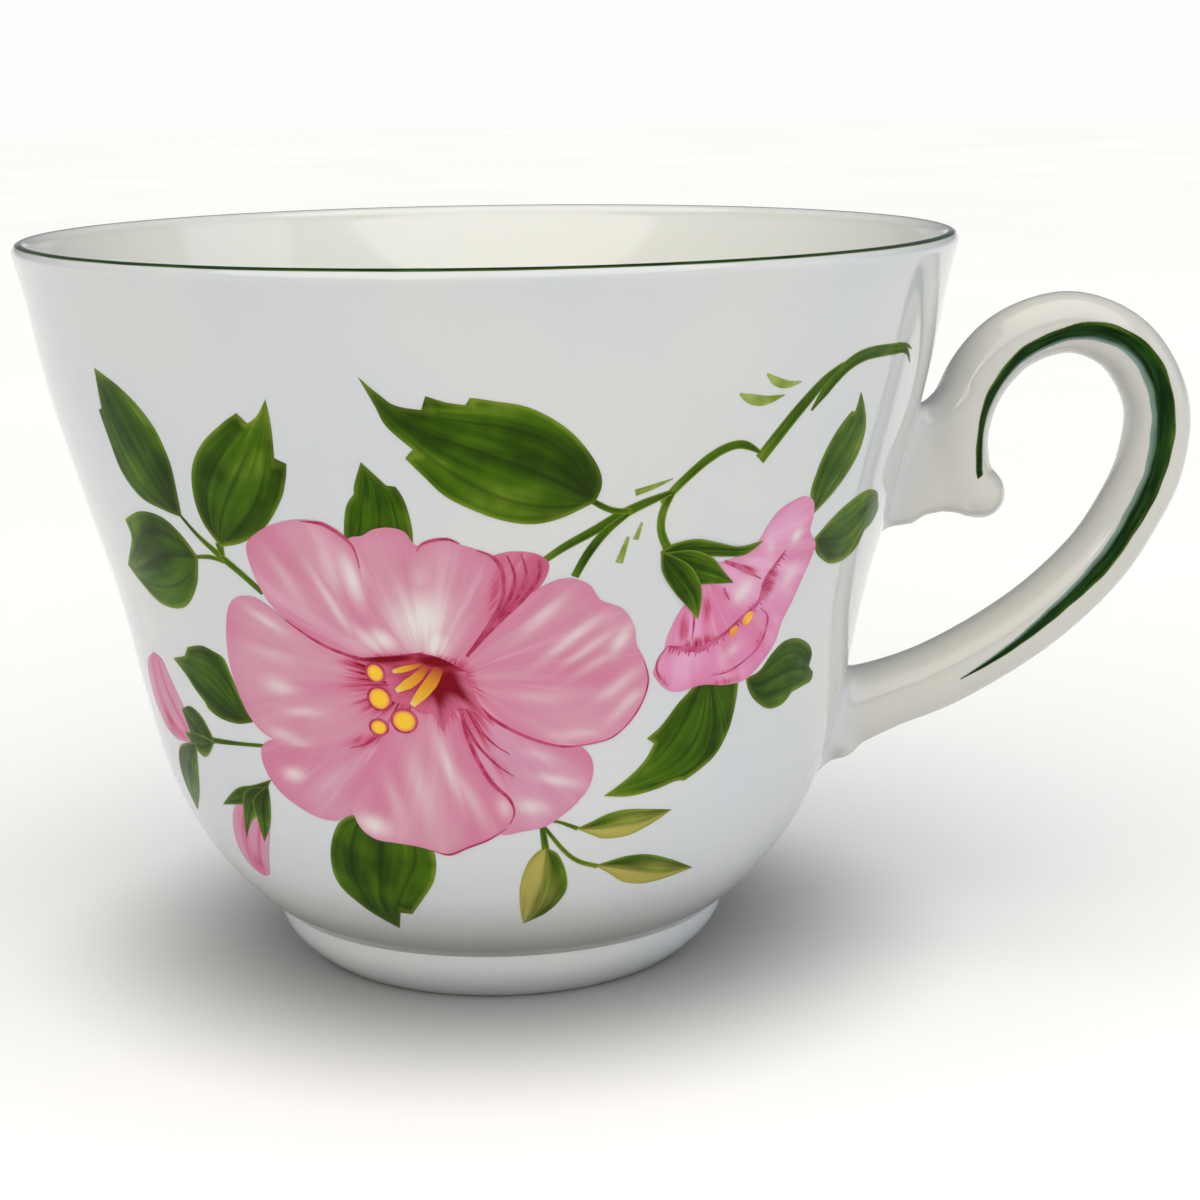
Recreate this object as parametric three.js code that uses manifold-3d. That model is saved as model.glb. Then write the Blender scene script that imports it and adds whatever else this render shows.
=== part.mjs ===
// Porcelain teacup with a scrolled handle, standing on its foot ring.
//
// The bowl and foot are bodies of revolution. The handle is a separate cast piece,
// stuck to the bowl by two thin pads of slip, the lutes. Green enamel lines run round
// the lip and along both sides of the handle, and a floral transfer covers the side of
// the bowl that faces -Y.
//
// Millimetres, +Z up. The handle reaches along +X. Every shape is drawn about the cup's
// own axis, and the last lines centre the whole object over the origin.

import * as THREE from 'three';
import { mergeVertices } from 'three/addons/utils/BufferGeometryUtils.js';
import Module from 'manifold-3d';

// Driving dimensions
const RIM_RADIUS = 45;
const CUP_HEIGHT = 71;
const LIP_RADIUS = 0.9; // the lip is a half round, so the wall there is twice this
const WALL = 2.1; // wall of the bowl's side
const FLOOR_THICKNESS = 3.2;
const FOOT_HEIGHT = 5.4;
const FOOT_TOP_RADIUS = 22.4;
const FOOT_REST_RADIUS = 18.3; // outer edge of the flat band that the cup stands on
const FOOT_REST_WIDTH = 1.9;
const UNDERSIDE_HEIGHT = 3.4; // underside of the floor, inside the foot ring
const HANDLE_WIDTH = 7; // across the handle's rod, along Y
const WEB_WIDTH = 6.2; // across the web between the rod and the bowl
const LUTE_GAP = 0.3; // clearance on each side of a lute
const LUTE_THICKNESS = 0.6;
const ENAMEL = 0.06; // thickness of the fired enamel and of the transfer
const ENAMEL_CLEARANCE = 0.05; // from the handle's facet to its enamel line
const HANDLE_LINE_WIDTH = 1.9;
const WELD = 0.001; // vertices nearer than this are one vertex

// Fineness of the facets
const AROUND = 48; // round the cup
const WALL_STEPS = 13; // up the wall
const LIP_STEPS = 4; // over the lip
const ROD_SIDES = 14;
const ROD_STEPS = 44;

const LIP_CENTRE_RADIUS = RIM_RADIUS - LIP_RADIUS;
const LIP_CENTRE_HEIGHT = CUP_HEIGHT - LIP_RADIUS;
const FOOT_INNER_RADIUS = FOOT_REST_RADIUS - FOOT_REST_WIDTH;

const point = (radius, height) => new THREE.Vector2(radius, height);

// Outline of the bowl's outer wall, from the foot's shoulder to the lip: a round belly,
// a straight flaring side and a slight turn outwards at the lip.
const outerWall = new THREE.SplineCurve([
  point(FOOT_TOP_RADIUS, FOOT_HEIGHT),
  point(26.5, 9.2),
  point(30.1, 14.2),
  point(32.8, 20.4),
  point(34.7, 28),
  point(36.6, 37),
  point(39.3, 46.5),
  point(42.2, 57),
  point(44, 66),
  point(RIM_RADIUS, LIP_CENTRE_HEIGHT),
]).getSpacedPoints(WALL_STEPS);

// Over the lip, from the outer wall to the inner wall.
const lip = [];
for (let step = 1; step <= LIP_STEPS; step += 1) {
  const angle = (Math.PI * step) / LIP_STEPS;
  lip.push(point(
    LIP_CENTRE_RADIUS + LIP_RADIUS * Math.cos(angle),
    LIP_CENTRE_HEIGHT + LIP_RADIUS * Math.sin(angle),
  ));
}

// Outline of the bowl's inside, from the lip down to the middle of the floor.
const innerWall = new THREE.SplineCurve([
  point(LIP_CENTRE_RADIUS - LIP_RADIUS, LIP_CENTRE_HEIGHT),
  point(44 - WALL, 65),
  point(42.2 - WALL, 56.5),
  point(39.3 - WALL, 46.5),
  point(36.6 - WALL, 37.5),
  point(34.7 - WALL, 29),
  point(32.6 - WALL, 22),
  point(26.8, 14.2),
  point(21.5, 9.6),
  point(13, UNDERSIDE_HEIGHT + FLOOR_THICKNESS + 0.5),
  point(0, UNDERSIDE_HEIGHT + FLOOR_THICKNESS),
]).getSpacedPoints(WALL_STEPS + 1).slice(1);

// Outer face of the foot ring, from the bowl's shoulder down to the flat band.
const footOuter = [1, 0.72, 0.42, 0.18, 0].map((rise) => point(
  FOOT_REST_RADIUS + (FOOT_TOP_RADIUS - FOOT_REST_RADIUS) * (1 - (1 - rise) ** 2),
  FOOT_HEIGHT * rise,
));
const footInnerTop = point(FOOT_INNER_RADIUS + 0.8, UNDERSIDE_HEIGHT + 0.3);

const porcelain = new THREE.MeshStandardMaterial({ color: 0xe9ebec, roughness: 0.12, metalness: 0 });
const greenEnamel = new THREE.MeshStandardMaterial({ color: 0x2f5a1c, roughness: 0.2, metalness: 0 });
const floralEnamel = new THREE.MeshStandardMaterial({ color: 0xd98aa5, roughness: 0.2, metalness: 0 });

function named(name, geometry, material) {
  const mesh = new THREE.Mesh(geometry, material);
  mesh.name = name;
  return mesh;
}

// A body of revolution about Z. The outline runs counter-clockwise as seen with the
// radius to the right and the height upwards.
function revolve(outline) {
  return new THREE.LatheGeometry(outline, AROUND).rotateX(Math.PI / 2);
}

function bowl() {
  const underside = [point(0, UNDERSIDE_HEIGHT), point(10, UNDERSIDE_HEIGHT), footInnerTop];
  return revolve([...underside, ...outerWall, ...lip, ...innerWall]);
}

function footRing() {
  const flatBand = [point(FOOT_INNER_RADIUS, 0), point(FOOT_REST_RADIUS, 0)];
  const outerFace = footOuter.slice(0, -1).reverse();
  return revolve([...flatBand, ...outerFace, footInnerTop, flatBand[0]]);
}

// Enamel over the outer half of the lip and a hair down the outside.
function rimLine() {
  const lineTop = lip.slice(0, LIP_STEPS / 2 + 1);
  const wallTop = outerWall.at(-1);
  const below = point(0, 0).lerpVectors(outerWall.at(-1), outerWall.at(-2), 0.08);
  const inner = [below, wallTop, ...lineTop];
  const outer = inner.map((p) => {
    const fromCentre = point(p.x - LIP_CENTRE_RADIUS, Math.max(0, p.y - LIP_CENTRE_HEIGHT));
    return p.clone().add(fromCentre.setLength(ENAMEL));
  });
  return revolve([...outer, ...inner.reverse(), outer[0]]);
}

// The transfer is one curved sheet on the facets of the outer wall. It spans the
// facets from one side of the spray to the other.
function floralTransfer() {
  const firstFacet = -25; // counted from the handle, and negative towards -Y
  const lastFacet = -2;
  const firstRing = 1;
  const lastRing = WALL_STEPS - 2;
  const facets = lastFacet - firstFacet;
  const rings = lastRing - firstRing;
  const sheet = new THREE.BoxGeometry(1, 1, 1, facets, rings, 1);
  const place = sheet.attributes.position;
  for (let i = 0; i < place.count; i += 1) {
    const angle = ((firstFacet + (place.getX(i) + 0.5) * facets) * 2 * Math.PI) / AROUND;
    const ring = outerWall[Math.round(firstRing + (place.getY(i) + 0.5) * rings)];
    const radius = ring.x + (place.getZ(i) > 0 ? ENAMEL : 0);
    place.setXYZ(i, radius * Math.cos(angle), radius * Math.sin(angle), ring.y);
  }
  return sheet;
}

// Centre line of the handle in the plane y = 0, as (x, z): out of the scroll's knob,
// over the crown, down the back and into the bowl's belly.
const handleLine = new THREE.CatmullRomCurve3([
  [48.1, 44.6],
  [46.4, 47.4],
  [46.1, 51.4],
  [47.7, 56],
  [51.4, 59.9],
  [57, 61.3],
  [62.5, 58.9],
  [65.5, 53.4],
  [65.2, 47.4],
  [63, 42.3],
  [59.4, 37],
  [53.2, 31.4],
  [45.2, 26.6],
  [38.6, 24.2],
  [32.5, 22],
  [28, 20.4],
].map(([x, z]) => new THREE.Vector3(x, 0, z)));

// Half the rod's thickness in the plane of the handle: slim at the scroll, fuller down
// the back, and spread where it meets the bowl's belly.
const ROD_HALF_THICKNESS = [2.4, 2.9, 3, 3, 3.1, 3.2, 3.3, 3.5, 3.7, 5.2, 6];
// Half its width across, along Y
const ROD_HALF_WIDTH = [0.75, 0.95, 1, 1, 1, 1, 1, 1, 1.03, 1.2, 1.4].map((k) => (k * HANDLE_WIDTH) / 2);

function alongRod(values, along) {
  const place = along * (values.length - 1);
  const index = Math.min(Math.floor(place), values.length - 2);
  return THREE.MathUtils.lerp(values[index], values[index + 1], place - index);
}

// A point near the handle: `along` it from 0 to 1, `aside` in its plane and `across`, along Y.
function handlePoint(along, aside, across) {
  const centre = handleLine.getPointAt(along);
  const tangent = handleLine.getTangentAt(along);
  return new THREE.Vector3(
    centre.x + tangent.z * aside,
    across,
    centre.z - tangent.x * aside,
  );
}

function handleRod() {
  const halfFacet = Math.PI / ROD_SIDES; // turns a flat facet to face each side
  const rod = new THREE.CylinderGeometry(1, 1, 1, ROD_SIDES, ROD_STEPS, false, halfFacet);
  const place = rod.attributes.position;
  for (let i = 0; i < place.count; i += 1) {
    const along = 0.5 - place.getY(i);
    const aside = place.getX(i) * alongRod(ROD_HALF_THICKNESS, along);
    const across = place.getZ(i) * alongRod(ROD_HALF_WIDTH, along);
    const moved = handlePoint(along, aside, across);
    place.setXYZ(i, moved.x, moved.y, moved.z);
  }
  return rod;
}

// The web fills the corner between the bowl and the upper part of the rod.
function handleWeb() {
  const outline = new THREE.Shape();
  outline.moveTo(34, 40.6);
  outline.lineTo(38.6, 41.2);
  outline.quadraticCurveTo(41.4, 41.6, 42.6, 42.6); // lobe beside the bowl
  outline.quadraticCurveTo(44.6, 43.4, 46.6, 42.6); // dip before the knob
  outline.lineTo(48, 47);
  outline.lineTo(46.4, 55);
  outline.quadraticCurveTo(44.2, 54, 42.4, 53.8); // notch above the web
  outline.lineTo(36, 53.6);
  outline.closePath();
  return new THREE.ExtrudeGeometry(outline, { depth: WEB_WIDTH, curveSegments: 4, bevelEnabled: false })
    .rotateX(Math.PI / 2)
    .translate(0, WEB_WIDTH / 2, 0);
}

function handleKnob() {
  const radius = 2.6;
  return new THREE.SphereGeometry(radius, 14, 9).rotateX(Math.PI / 2).translate(48.3, 0, 44.4);
}

// A tapered enamel line on the handle's side that faces along Y: side is 1 or -1.
function handleLineOn(side) {
  const firstStep = 3; // of the rod's steps, so that the line lies flat on its facets
  const lastStep = 35;
  const steps = lastStep - firstStep;
  const line = new THREE.BoxGeometry(HANDLE_LINE_WIDTH, ENAMEL, 1, 1, 1, steps);
  const place = line.attributes.position;
  for (let i = 0; i < place.count; i += 1) {
    const share = place.getZ(i) + 0.5;
    const along = (firstStep + share * steps) / ROD_STEPS;
    const taper = 0.25 + 0.75 * Math.sin(Math.PI * share) ** 0.7;
    const facet = alongRod(ROD_HALF_WIDTH, along) * Math.cos(Math.PI / ROD_SIDES);
    const lift = facet + ENAMEL_CLEARANCE + ENAMEL / 2 + place.getY(i);
    const moved = handlePoint(along, side * place.getX(i) * taper, side * lift);
    place.setXYZ(i, moved.x, moved.y, moved.z);
  }
  return line;
}

const wasm = await Module();
wasm.setup();

function toSolid(geometry) {
  const bare = geometry.clone();
  bare.deleteAttribute('normal');
  bare.deleteAttribute('uv');
  const merged = mergeVertices(bare, WELD);
  return new wasm.Manifold(new wasm.Mesh({
    numProp: 3,
    vertProperties: new Float32Array(merged.attributes.position.array),
    triVerts: new Uint32Array(merged.index.array),
  }));
}

function toGeometry(solid) {
  const { vertProperties, triVerts } = solid.getMesh();
  const geometry = new THREE.BufferGeometry();
  geometry.setAttribute('position', new THREE.BufferAttribute(new Float32Array(vertProperties), 3));
  geometry.setIndex(new THREE.BufferAttribute(new Uint32Array(triVerts), 1));
  geometry.computeVertexNormals();
  return geometry;
}

// A sleeve round the bowl's outer wall, between two distances from it.
function wallSleeve(from, to) {
  const inside = outerWall.map((p) => point(p.x + from, p.y)).reverse();
  const outside = outerWall.map((p) => point(p.x + to, p.y));
  return toSolid(revolve([...outside, ...inside, outside[0]]));
}

const handleBlank = toSolid(handleRod()).add(toSolid(handleWeb())).add(toSolid(handleKnob()));
const luteStart = LUTE_GAP;
const luteEnd = LUTE_GAP + LUTE_THICKNESS;
const handleStart = luteEnd + LUTE_GAP;
const DEEP_INSIDE = -16; // past every end of the handle's blank
const handle = handleBlank.subtract(wallSleeve(DEEP_INSIDE, handleStart));

// The sleeve meets the blank twice: at the web above and at the belly below.
const lutes = handleBlank.intersect(wallSleeve(luteStart, luteEnd)).decompose();
const [lowerLute, upperLute] = lutes.sort((a, b) => a.boundingBox().min[2] - b.boundingBox().min[2]);

const teacup = new THREE.Group();
teacup.add(
  named('bowl', bowl(), porcelain),
  named('foot_ring', footRing(), porcelain),
  named('handle', toGeometry(handle), porcelain),
  named('handle_upper_lute', toGeometry(upperLute), porcelain),
  named('handle_lower_lute', toGeometry(lowerLute), porcelain),
  named('rim_line', rimLine(), greenEnamel),
  named('handle_line_near', handleLineOn(-1), greenEnamel),
  named('handle_line_far', handleLineOn(1), greenEnamel),
  named('floral_transfer', floralTransfer(), floralEnamel),
);

// The bottom stays at z = 0, and the handle's reach moves the cup's axis towards -X.
const extent = new THREE.Box3().setFromObject(teacup, true);
teacup.position.x = -(extent.min.x + extent.max.x) / 2;

export default teacup;
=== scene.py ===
"""A porcelain teacup: glazed body, enamel lines and a hibiscus spray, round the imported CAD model.

Lengths in the outlines below are millimetres, measured from the cup's own axis and from
the table. Places on the bowl are (turn, height): turn in degrees round the bowl from the
side that faces -Y towards the handle, height in millimetres above the table.
"""

import math

import bpy
import numpy as np
from mathutils import Matrix, Vector


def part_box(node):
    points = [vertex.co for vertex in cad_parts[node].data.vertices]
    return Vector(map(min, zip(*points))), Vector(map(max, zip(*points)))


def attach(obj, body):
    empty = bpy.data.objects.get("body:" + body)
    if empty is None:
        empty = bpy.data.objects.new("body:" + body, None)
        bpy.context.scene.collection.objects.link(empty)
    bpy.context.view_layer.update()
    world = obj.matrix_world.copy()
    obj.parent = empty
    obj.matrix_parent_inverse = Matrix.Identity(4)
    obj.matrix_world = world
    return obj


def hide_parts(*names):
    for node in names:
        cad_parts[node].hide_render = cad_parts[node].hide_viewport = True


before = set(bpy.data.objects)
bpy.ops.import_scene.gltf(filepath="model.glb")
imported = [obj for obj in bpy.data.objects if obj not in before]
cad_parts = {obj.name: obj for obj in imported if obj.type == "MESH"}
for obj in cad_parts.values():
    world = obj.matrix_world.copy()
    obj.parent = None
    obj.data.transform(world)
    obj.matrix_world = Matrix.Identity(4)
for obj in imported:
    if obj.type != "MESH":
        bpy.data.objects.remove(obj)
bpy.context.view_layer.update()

MM = 0.001
bowl_low, bowl_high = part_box("bowl")
AXIS_X = (bowl_low[0] + bowl_high[0]) / 2
RIM_RADIUS = (bowl_high[0] - bowl_low[0]) / 2 / MM
CUP_HEIGHT = bowl_high[2] / MM
LIP_RADIUS = 0.9
WALL = 2.1
FOOT_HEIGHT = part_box("foot_ring")[1][2] / MM
FOOT_TOP_RADIUS = (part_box("foot_ring")[1][0] - AXIS_X) / MM
FOOT_REST_RADIUS = 18.3
FOOT_REST_WIDTH = 1.9
UNDERSIDE_HEIGHT = bowl_low[2] / MM
FLOOR_THICKNESS = 3.2


# ---------------------------------------------------------------- curves and outlines

def smooth_curve(points, per_span=24):
    """Catmull-Rom curve through the points. A point given twice is a sharp corner."""
    points = np.array(points, float)
    breaks = [i + 1 for i in range(len(points) - 1) if np.allclose(points[i], points[i + 1])]
    stretches = np.split(points, breaks)
    drawn = []
    for stretch in stretches:
        last = len(stretch) - 1
        for i in range(last):
            before, start = stretch[max(i - 1, 0)], stretch[i]
            end, after = stretch[i + 1], stretch[min(i + 2, last)]
            leave, arrive = (end - before) / 2, (after - start) / 2
            for t in np.linspace(0, 1, per_span, endpoint=False):
                drawn.append(
                    (2 * start - 2 * end + leave + arrive) * t ** 3
                    + (3 * end - 3 * start - 2 * leave - arrive) * t ** 2
                    + leave * t
                    + start
                )
    drawn.append(points[-1])
    return np.array(drawn)


def evenly(curve, count, scale=(1.0, 1.0)):
    """The curve resampled at equal steps of length. The scales bring its two axes to one unit."""
    steps = np.hypot(*(np.diff(curve[:, :2], axis=0) * np.array(scale)).T)
    length = np.concatenate([[0], np.cumsum(steps)])
    places = np.linspace(0, length[-1], count)
    return np.stack([np.interp(places, length, axis) for axis in curve.T], axis=1)


OUTER_WALL = smooth_curve([
    (FOOT_TOP_RADIUS, FOOT_HEIGHT), (26.5, 9.2), (30.1, 14.2), (32.8, 20.4), (34.7, 28), (36.6, 37),
    (39.3, 46.5), (42.2, 57), (44, 66), (RIM_RADIUS, CUP_HEIGHT - LIP_RADIUS),
])
INNER_WALL = smooth_curve([
    (RIM_RADIUS - 2 * LIP_RADIUS, CUP_HEIGHT - LIP_RADIUS), (44 - WALL, 65), (42.2 - WALL, 56.5),
    (39.3 - WALL, 46.5), (36.6 - WALL, 37.5), (34.7 - WALL, 29), (32.6 - WALL, 22), (26.8, 14.2),
    (21.5, 9.6), (13, UNDERSIDE_HEIGHT + FLOOR_THICKNESS + 0.5), (0, UNDERSIDE_HEIGHT + FLOOR_THICKNESS),
])
LIP_CENTRE = (RIM_RADIUS - LIP_RADIUS, CUP_HEIGHT - LIP_RADIUS)
WALL_SLOPE = np.gradient(OUTER_WALL[:, 0], OUTER_WALL[:, 1])

# What a degree of turn and a millimetre of height come to over the decorated wall, about
WALL_UNITS = (0.65, 1.05)


def wall_radius(height):
    return np.interp(height, OUTER_WALL[:, 1], OUTER_WALL[:, 0])


def wall_slope(height):
    return np.interp(height, OUTER_WALL[:, 1], WALL_SLOPE)


def lip_arc(start, end, radius, steps):
    """Points over the lip, from the angle `start` to `end` in degrees; 0 is outwards."""
    angles = np.radians(np.linspace(start, end, steps))
    return np.array(LIP_CENTRE) + radius * np.stack([np.cos(angles), np.sin(angles)], axis=1)


# ---------------------------------------------------------------- meshes

def make_object(name, vertices, faces, attributes=None):
    """A mesh object from vertices in millimetres about the cup's axis."""
    vertices = np.asarray(vertices, float) * MM + np.array([AXIS_X, 0, 0])
    mesh = bpy.data.meshes.new(name)
    mesh.from_pydata(vertices.tolist(), [], faces)
    for key, values in (attributes or {}).items():
        mesh.attributes.new(key, "FLOAT", "POINT").data.foreach_set("value", np.asarray(values, np.float32))
    mesh.validate()
    mesh.shade_smooth()
    mesh.set_sharp_from_angle(angle=math.radians(50))
    made = bpy.data.objects.new(name, mesh)
    bpy.context.scene.collection.objects.link(made)
    return made


def revolve(name, outline, around=288, **tints):
    """A body of revolution from an outline of (radius, height). Each tint has a value for each point."""
    vertices, rings, ring_of = [], [], []
    angles = np.linspace(0, 2 * math.pi, around, endpoint=False)
    for number, (radius, height) in enumerate(outline):
        start = len(vertices)
        if radius < 1e-6:
            vertices.append((0, 0, height))
            rings.append([start] * around)
        else:
            vertices += [(radius * math.cos(a), radius * math.sin(a), height) for a in angles]
            rings.append(list(range(start, start + around)))
        ring_of += [number] * (len(vertices) - start)
    faces = []
    on_axis = outline[0][0] < 1e-6
    pairs = list(zip(rings, rings[1:] if on_axis else rings[1:] + rings[:1]))
    for low, high in pairs:
        for i in range(around):
            j = (i + 1) % around
            corners = [low[i], low[j], high[j], high[i]]
            faces.append(list(dict.fromkeys(corners)))
    attributes = {key: np.array(values)[ring_of] for key, values in tints.items()}
    return make_object(name, vertices, faces, attributes)


def slab(outer, inner, wrap=False):
    """Vertices and faces of the closed slab between two grids of points of one shape."""
    rows, columns = outer.shape[:2]
    count = rows * columns
    vertices = np.concatenate([outer.reshape(-1, 3), inner.reshape(-1, 3)])
    index = np.arange(count).reshape(rows, columns)
    if wrap:
        index = np.vstack([index, index[:1]])
    faces = []

    def skin(grid, flip):
        a, b, c, d = grid[:-1, :-1], grid[1:, :-1], grid[1:, 1:], grid[:-1, 1:]
        order = [a, d, c, b] if flip else [a, b, c, d]
        faces.extend(np.stack([part.ravel() for part in order], axis=1).tolist())

    def rim(line):
        for a, b in zip(line[:-1].tolist(), line[1:].tolist()):
            faces.append([b, a, a + count, b + count])

    skin(index, False)
    skin(index + count, True)
    rim(index[:, 0][::-1])
    rim(index[:, -1])
    if not wrap:
        rim(index[0])
        rim(index[-1][::-1])
    return vertices, faces


def on_bowl(places, lift):
    """Points on the bowl's outer wall at (turn, height), lifted off it by `lift`."""
    turn, height = np.radians(places[..., 0]), places[..., 1]
    slope = wall_slope(height)
    lean = 1 / np.sqrt(1 + slope ** 2)
    radius = wall_radius(height) + lift * lean
    return np.stack([radius * np.sin(turn), -radius * np.cos(turn), height - lift * lean * slope], axis=-1)


# ---------------------------------------------------------------- materials

def linear(red, green, blue):
    """A colour given as it shows on a screen, from 0 to 255, as linear light."""
    parts = [value / 255 for value in (red, green, blue)]
    return tuple(v / 12.92 if v < 0.04045 else ((v + 0.055) / 1.055) ** 2.4 for v in parts) + (1.0,)


ENAMEL_SHINE = 0.07  # specular level of the fired colours, a little under that of the glaze
ENAMEL_ROUGHNESS = 0.16
GLAZE_ROUGHNESS = 0.1


class Shader:
    """A Principled material with short ways to add and join its nodes."""

    def __init__(self, name, roughness, shine=0.5):
        self.material = bpy.data.materials.new(name)
        self.material.use_nodes = True
        self.tree = self.material.node_tree
        self.surface = self.tree.nodes["Principled BSDF"]
        self.surface.inputs["Roughness"].default_value = roughness
        self.surface.inputs["IOR"].default_value = 1.52
        self.surface.inputs["Specular IOR Level"].default_value = shine

    def node(self, kind, inputs=(), **settings):
        made = self.tree.nodes.new(kind)
        for key, value in settings.items():
            setattr(made, key, value)
        for key, value in dict(inputs).items():
            if isinstance(value, bpy.types.NodeSocket):
                self.tree.links.new(value, made.inputs[key])
            else:
                made.inputs[key].default_value = value
        return made

    def attribute(self, name):
        return self.node("ShaderNodeAttribute", attribute_name=name).outputs["Fac"]

    def place(self):
        return self.node("ShaderNodeTexCoord").outputs["Object"]

    def noise(self, vector, scale, detail=3.0):
        inputs = {"Vector": vector, "Scale": scale, "Detail": detail}
        return self.node("ShaderNodeTexNoise", inputs).outputs["Fac"]

    def math(self, operation, first, second=0.0, clamp=False):
        inputs = {0: first, 1: second}
        return self.node("ShaderNodeMath", inputs, operation=operation, use_clamp=clamp).outputs[0]

    def times(self, first, second):
        return self.math("MULTIPLY", first, second)

    def plus(self, first, second):
        return self.math("ADD", first, second)

    def remap(self, value, low, high, to_low=0.0, to_high=1.0):
        inputs = {"Value": value, "From Min": low, "From Max": high, "To Min": to_low, "To Max": to_high}
        return self.node("ShaderNodeMapRange", inputs, interpolation_type="SMOOTHSTEP").outputs["Result"]

    def mix(self, factor, first, second):
        inputs = {0: factor, 6: first, 7: second}
        return self.node("ShaderNodeMix", inputs, data_type="RGBA").outputs[2]

    def ramp(self, value, stops):
        made = self.node("ShaderNodeValToRGB", {"Fac": value})
        colours = made.color_ramp
        while len(colours.elements) < len(stops):
            colours.elements.new(0.5)
        for element, (position, colour) in zip(colours.elements, stops):
            element.position = position
            element.color = colour
        return made.outputs["Color"]

    def streaks(self, across, along, finer, seed, detail=2.0):
        """Brush streaks that run along a shape: finer across it than along it."""
        vector = self.node("ShaderNodeCombineXYZ", {
            "X": self.times(across, finer), "Y": self.times(along, 1.1), "Z": seed,
        }).outputs[0]
        return self.noise(vector, 1.0, detail)

    def bump(self, height, distance, strength):
        inputs = {"Height": height, "Distance": distance, "Strength": strength}
        normal = self.node("ShaderNodeBump", inputs).outputs["Normal"]
        self.tree.links.new(normal, self.surface.inputs["Normal"])

    def colour(self, socket):
        self.tree.links.new(socket, self.surface.inputs["Base Color"])


def glaze_ripple(shader):
    """The slow unevenness of a poured glaze, seen in its reflections."""
    shader.bump(shader.noise(shader.place(), 110.0, 1.0), 0.00012, 0.35)


def glaze_colour(shader, seed, thin=(203, 205, 202), thick=(197, 200, 204)):
    """White glaze. Painted light makes it lighter and warmer inside the bowl, painted shade greys it just
    over the foot, and at the handle's roots the handle's painted shade gives way to the bowl's tone.
    """
    place = shader.place()
    clouds = shader.remap(shader.noise(place, 45.0 + seed, 3.0), 0.3, 0.7)
    body = shader.mix(clouds, linear(*thin), linear(*thick))
    # Near the bowl the handle loses its painted shade and takes the bowl's tone.
    body = shader.mix(shader.attribute("joined"), body, linear(200, 203, 203))
    # Painted shade, darkest just over the foot.
    body = shader.mix(shader.attribute("pooled"), body, linear(128, 123, 117))
    # Painted light: lighter and warmer inside the bowl.
    return shader.mix(shader.attribute("inside"), body, linear(229, 229, 223))


def porcelain(name, seed, *tones):
    shader = Shader(name, GLAZE_ROUGHNESS)
    specks = shader.remap(shader.noise(shader.place(), 1900.0, 1.0), 0.8, 0.83, 0.0, 0.2)
    shader.colour(shader.mix(specks, glaze_colour(shader, seed, *tones), linear(170, 165, 150)))
    shader.surface.inputs["Coat Weight"].default_value = 0.25
    shader.surface.inputs["Coat Roughness"].default_value = 0.04
    shader.surface.inputs["Subsurface Weight"].default_value = 0.12
    shader.surface.inputs["Subsurface Radius"].default_value = (1.0, 0.85, 0.7)
    shader.surface.inputs["Subsurface Scale"].default_value = 0.0015
    glaze_ripple(shader)
    return shader.material


def foot_porcelain():
    """Glazed porcelain painted lighter than the bowl's as light, with the flat band that the kiln shelf
    touched left bare and rough.
    """
    shader = Shader("foot_glaze_painted_light_and_bare_band", GLAZE_ROUGHNESS)
    place = shader.place()
    height = shader.node("ShaderNodeSeparateXYZ", {0: place}).outputs["Z"]
    wander = shader.times(shader.noise(place, 260.0, 2.0), 0.0005)
    bare = shader.remap(shader.plus(height, wander), 0.0004, 0.0006, 1.0, 0.0)
    grit = shader.mix(shader.noise(place, 2600.0, 4.0), linear(214, 209, 198), linear(232, 228, 219))
    # Painted light: the foot's glaze is lighter than the bowl's.
    glaze = glaze_colour(shader, 7.0, (214, 216, 214), (208, 211, 214))
    shader.colour(shader.mix(bare, glaze, grit))
    roughness = shader.remap(bare, 0, 1, GLAZE_ROUGHNESS, 0.75)
    shader.tree.links.new(roughness, shader.surface.inputs["Roughness"])
    shader.bump(shader.times(shader.noise(place, 3000.0, 3.0), bare), 0.00006, 0.8)
    return shader.material


def green_line(name, seed):
    """Brushed dark green enamel: thick in the middle of the stroke, thin at its edges, the thin edge
    teal-grey on one side as painted shade.
    """
    shader = Shader(name, 0.14, ENAMEL_SHINE)
    across, along = shader.attribute("across"), shader.attribute("along")
    streak = shader.streaks(across, shader.times(along, 14.0), 2.6, seed)
    edge = shader.plus(shader.math("ABSOLUTE", across), shader.times(across, 0.25))
    thin = shader.remap(shader.plus(edge, shader.times(streak, 0.5)), 0.7, 1.42)
    deep = shader.mix(shader.remap(streak, 0.35, 0.7), linear(8, 32, 4), linear(26, 62, 12))
    # The thin fringe is yellow-green on one side and teal-grey, painted shade, on the other.
    fringe_tone_and_painted_shade = shader.mix(shader.remap(across, -0.3, 0.3), linear(134, 156, 62), linear(116, 138, 130))
    body = shader.mix(thin, deep, fringe_tone_and_painted_shade)
    shader.colour(body)
    shader.bump(streak, 0.00004, 0.4)
    return shader.material


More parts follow.
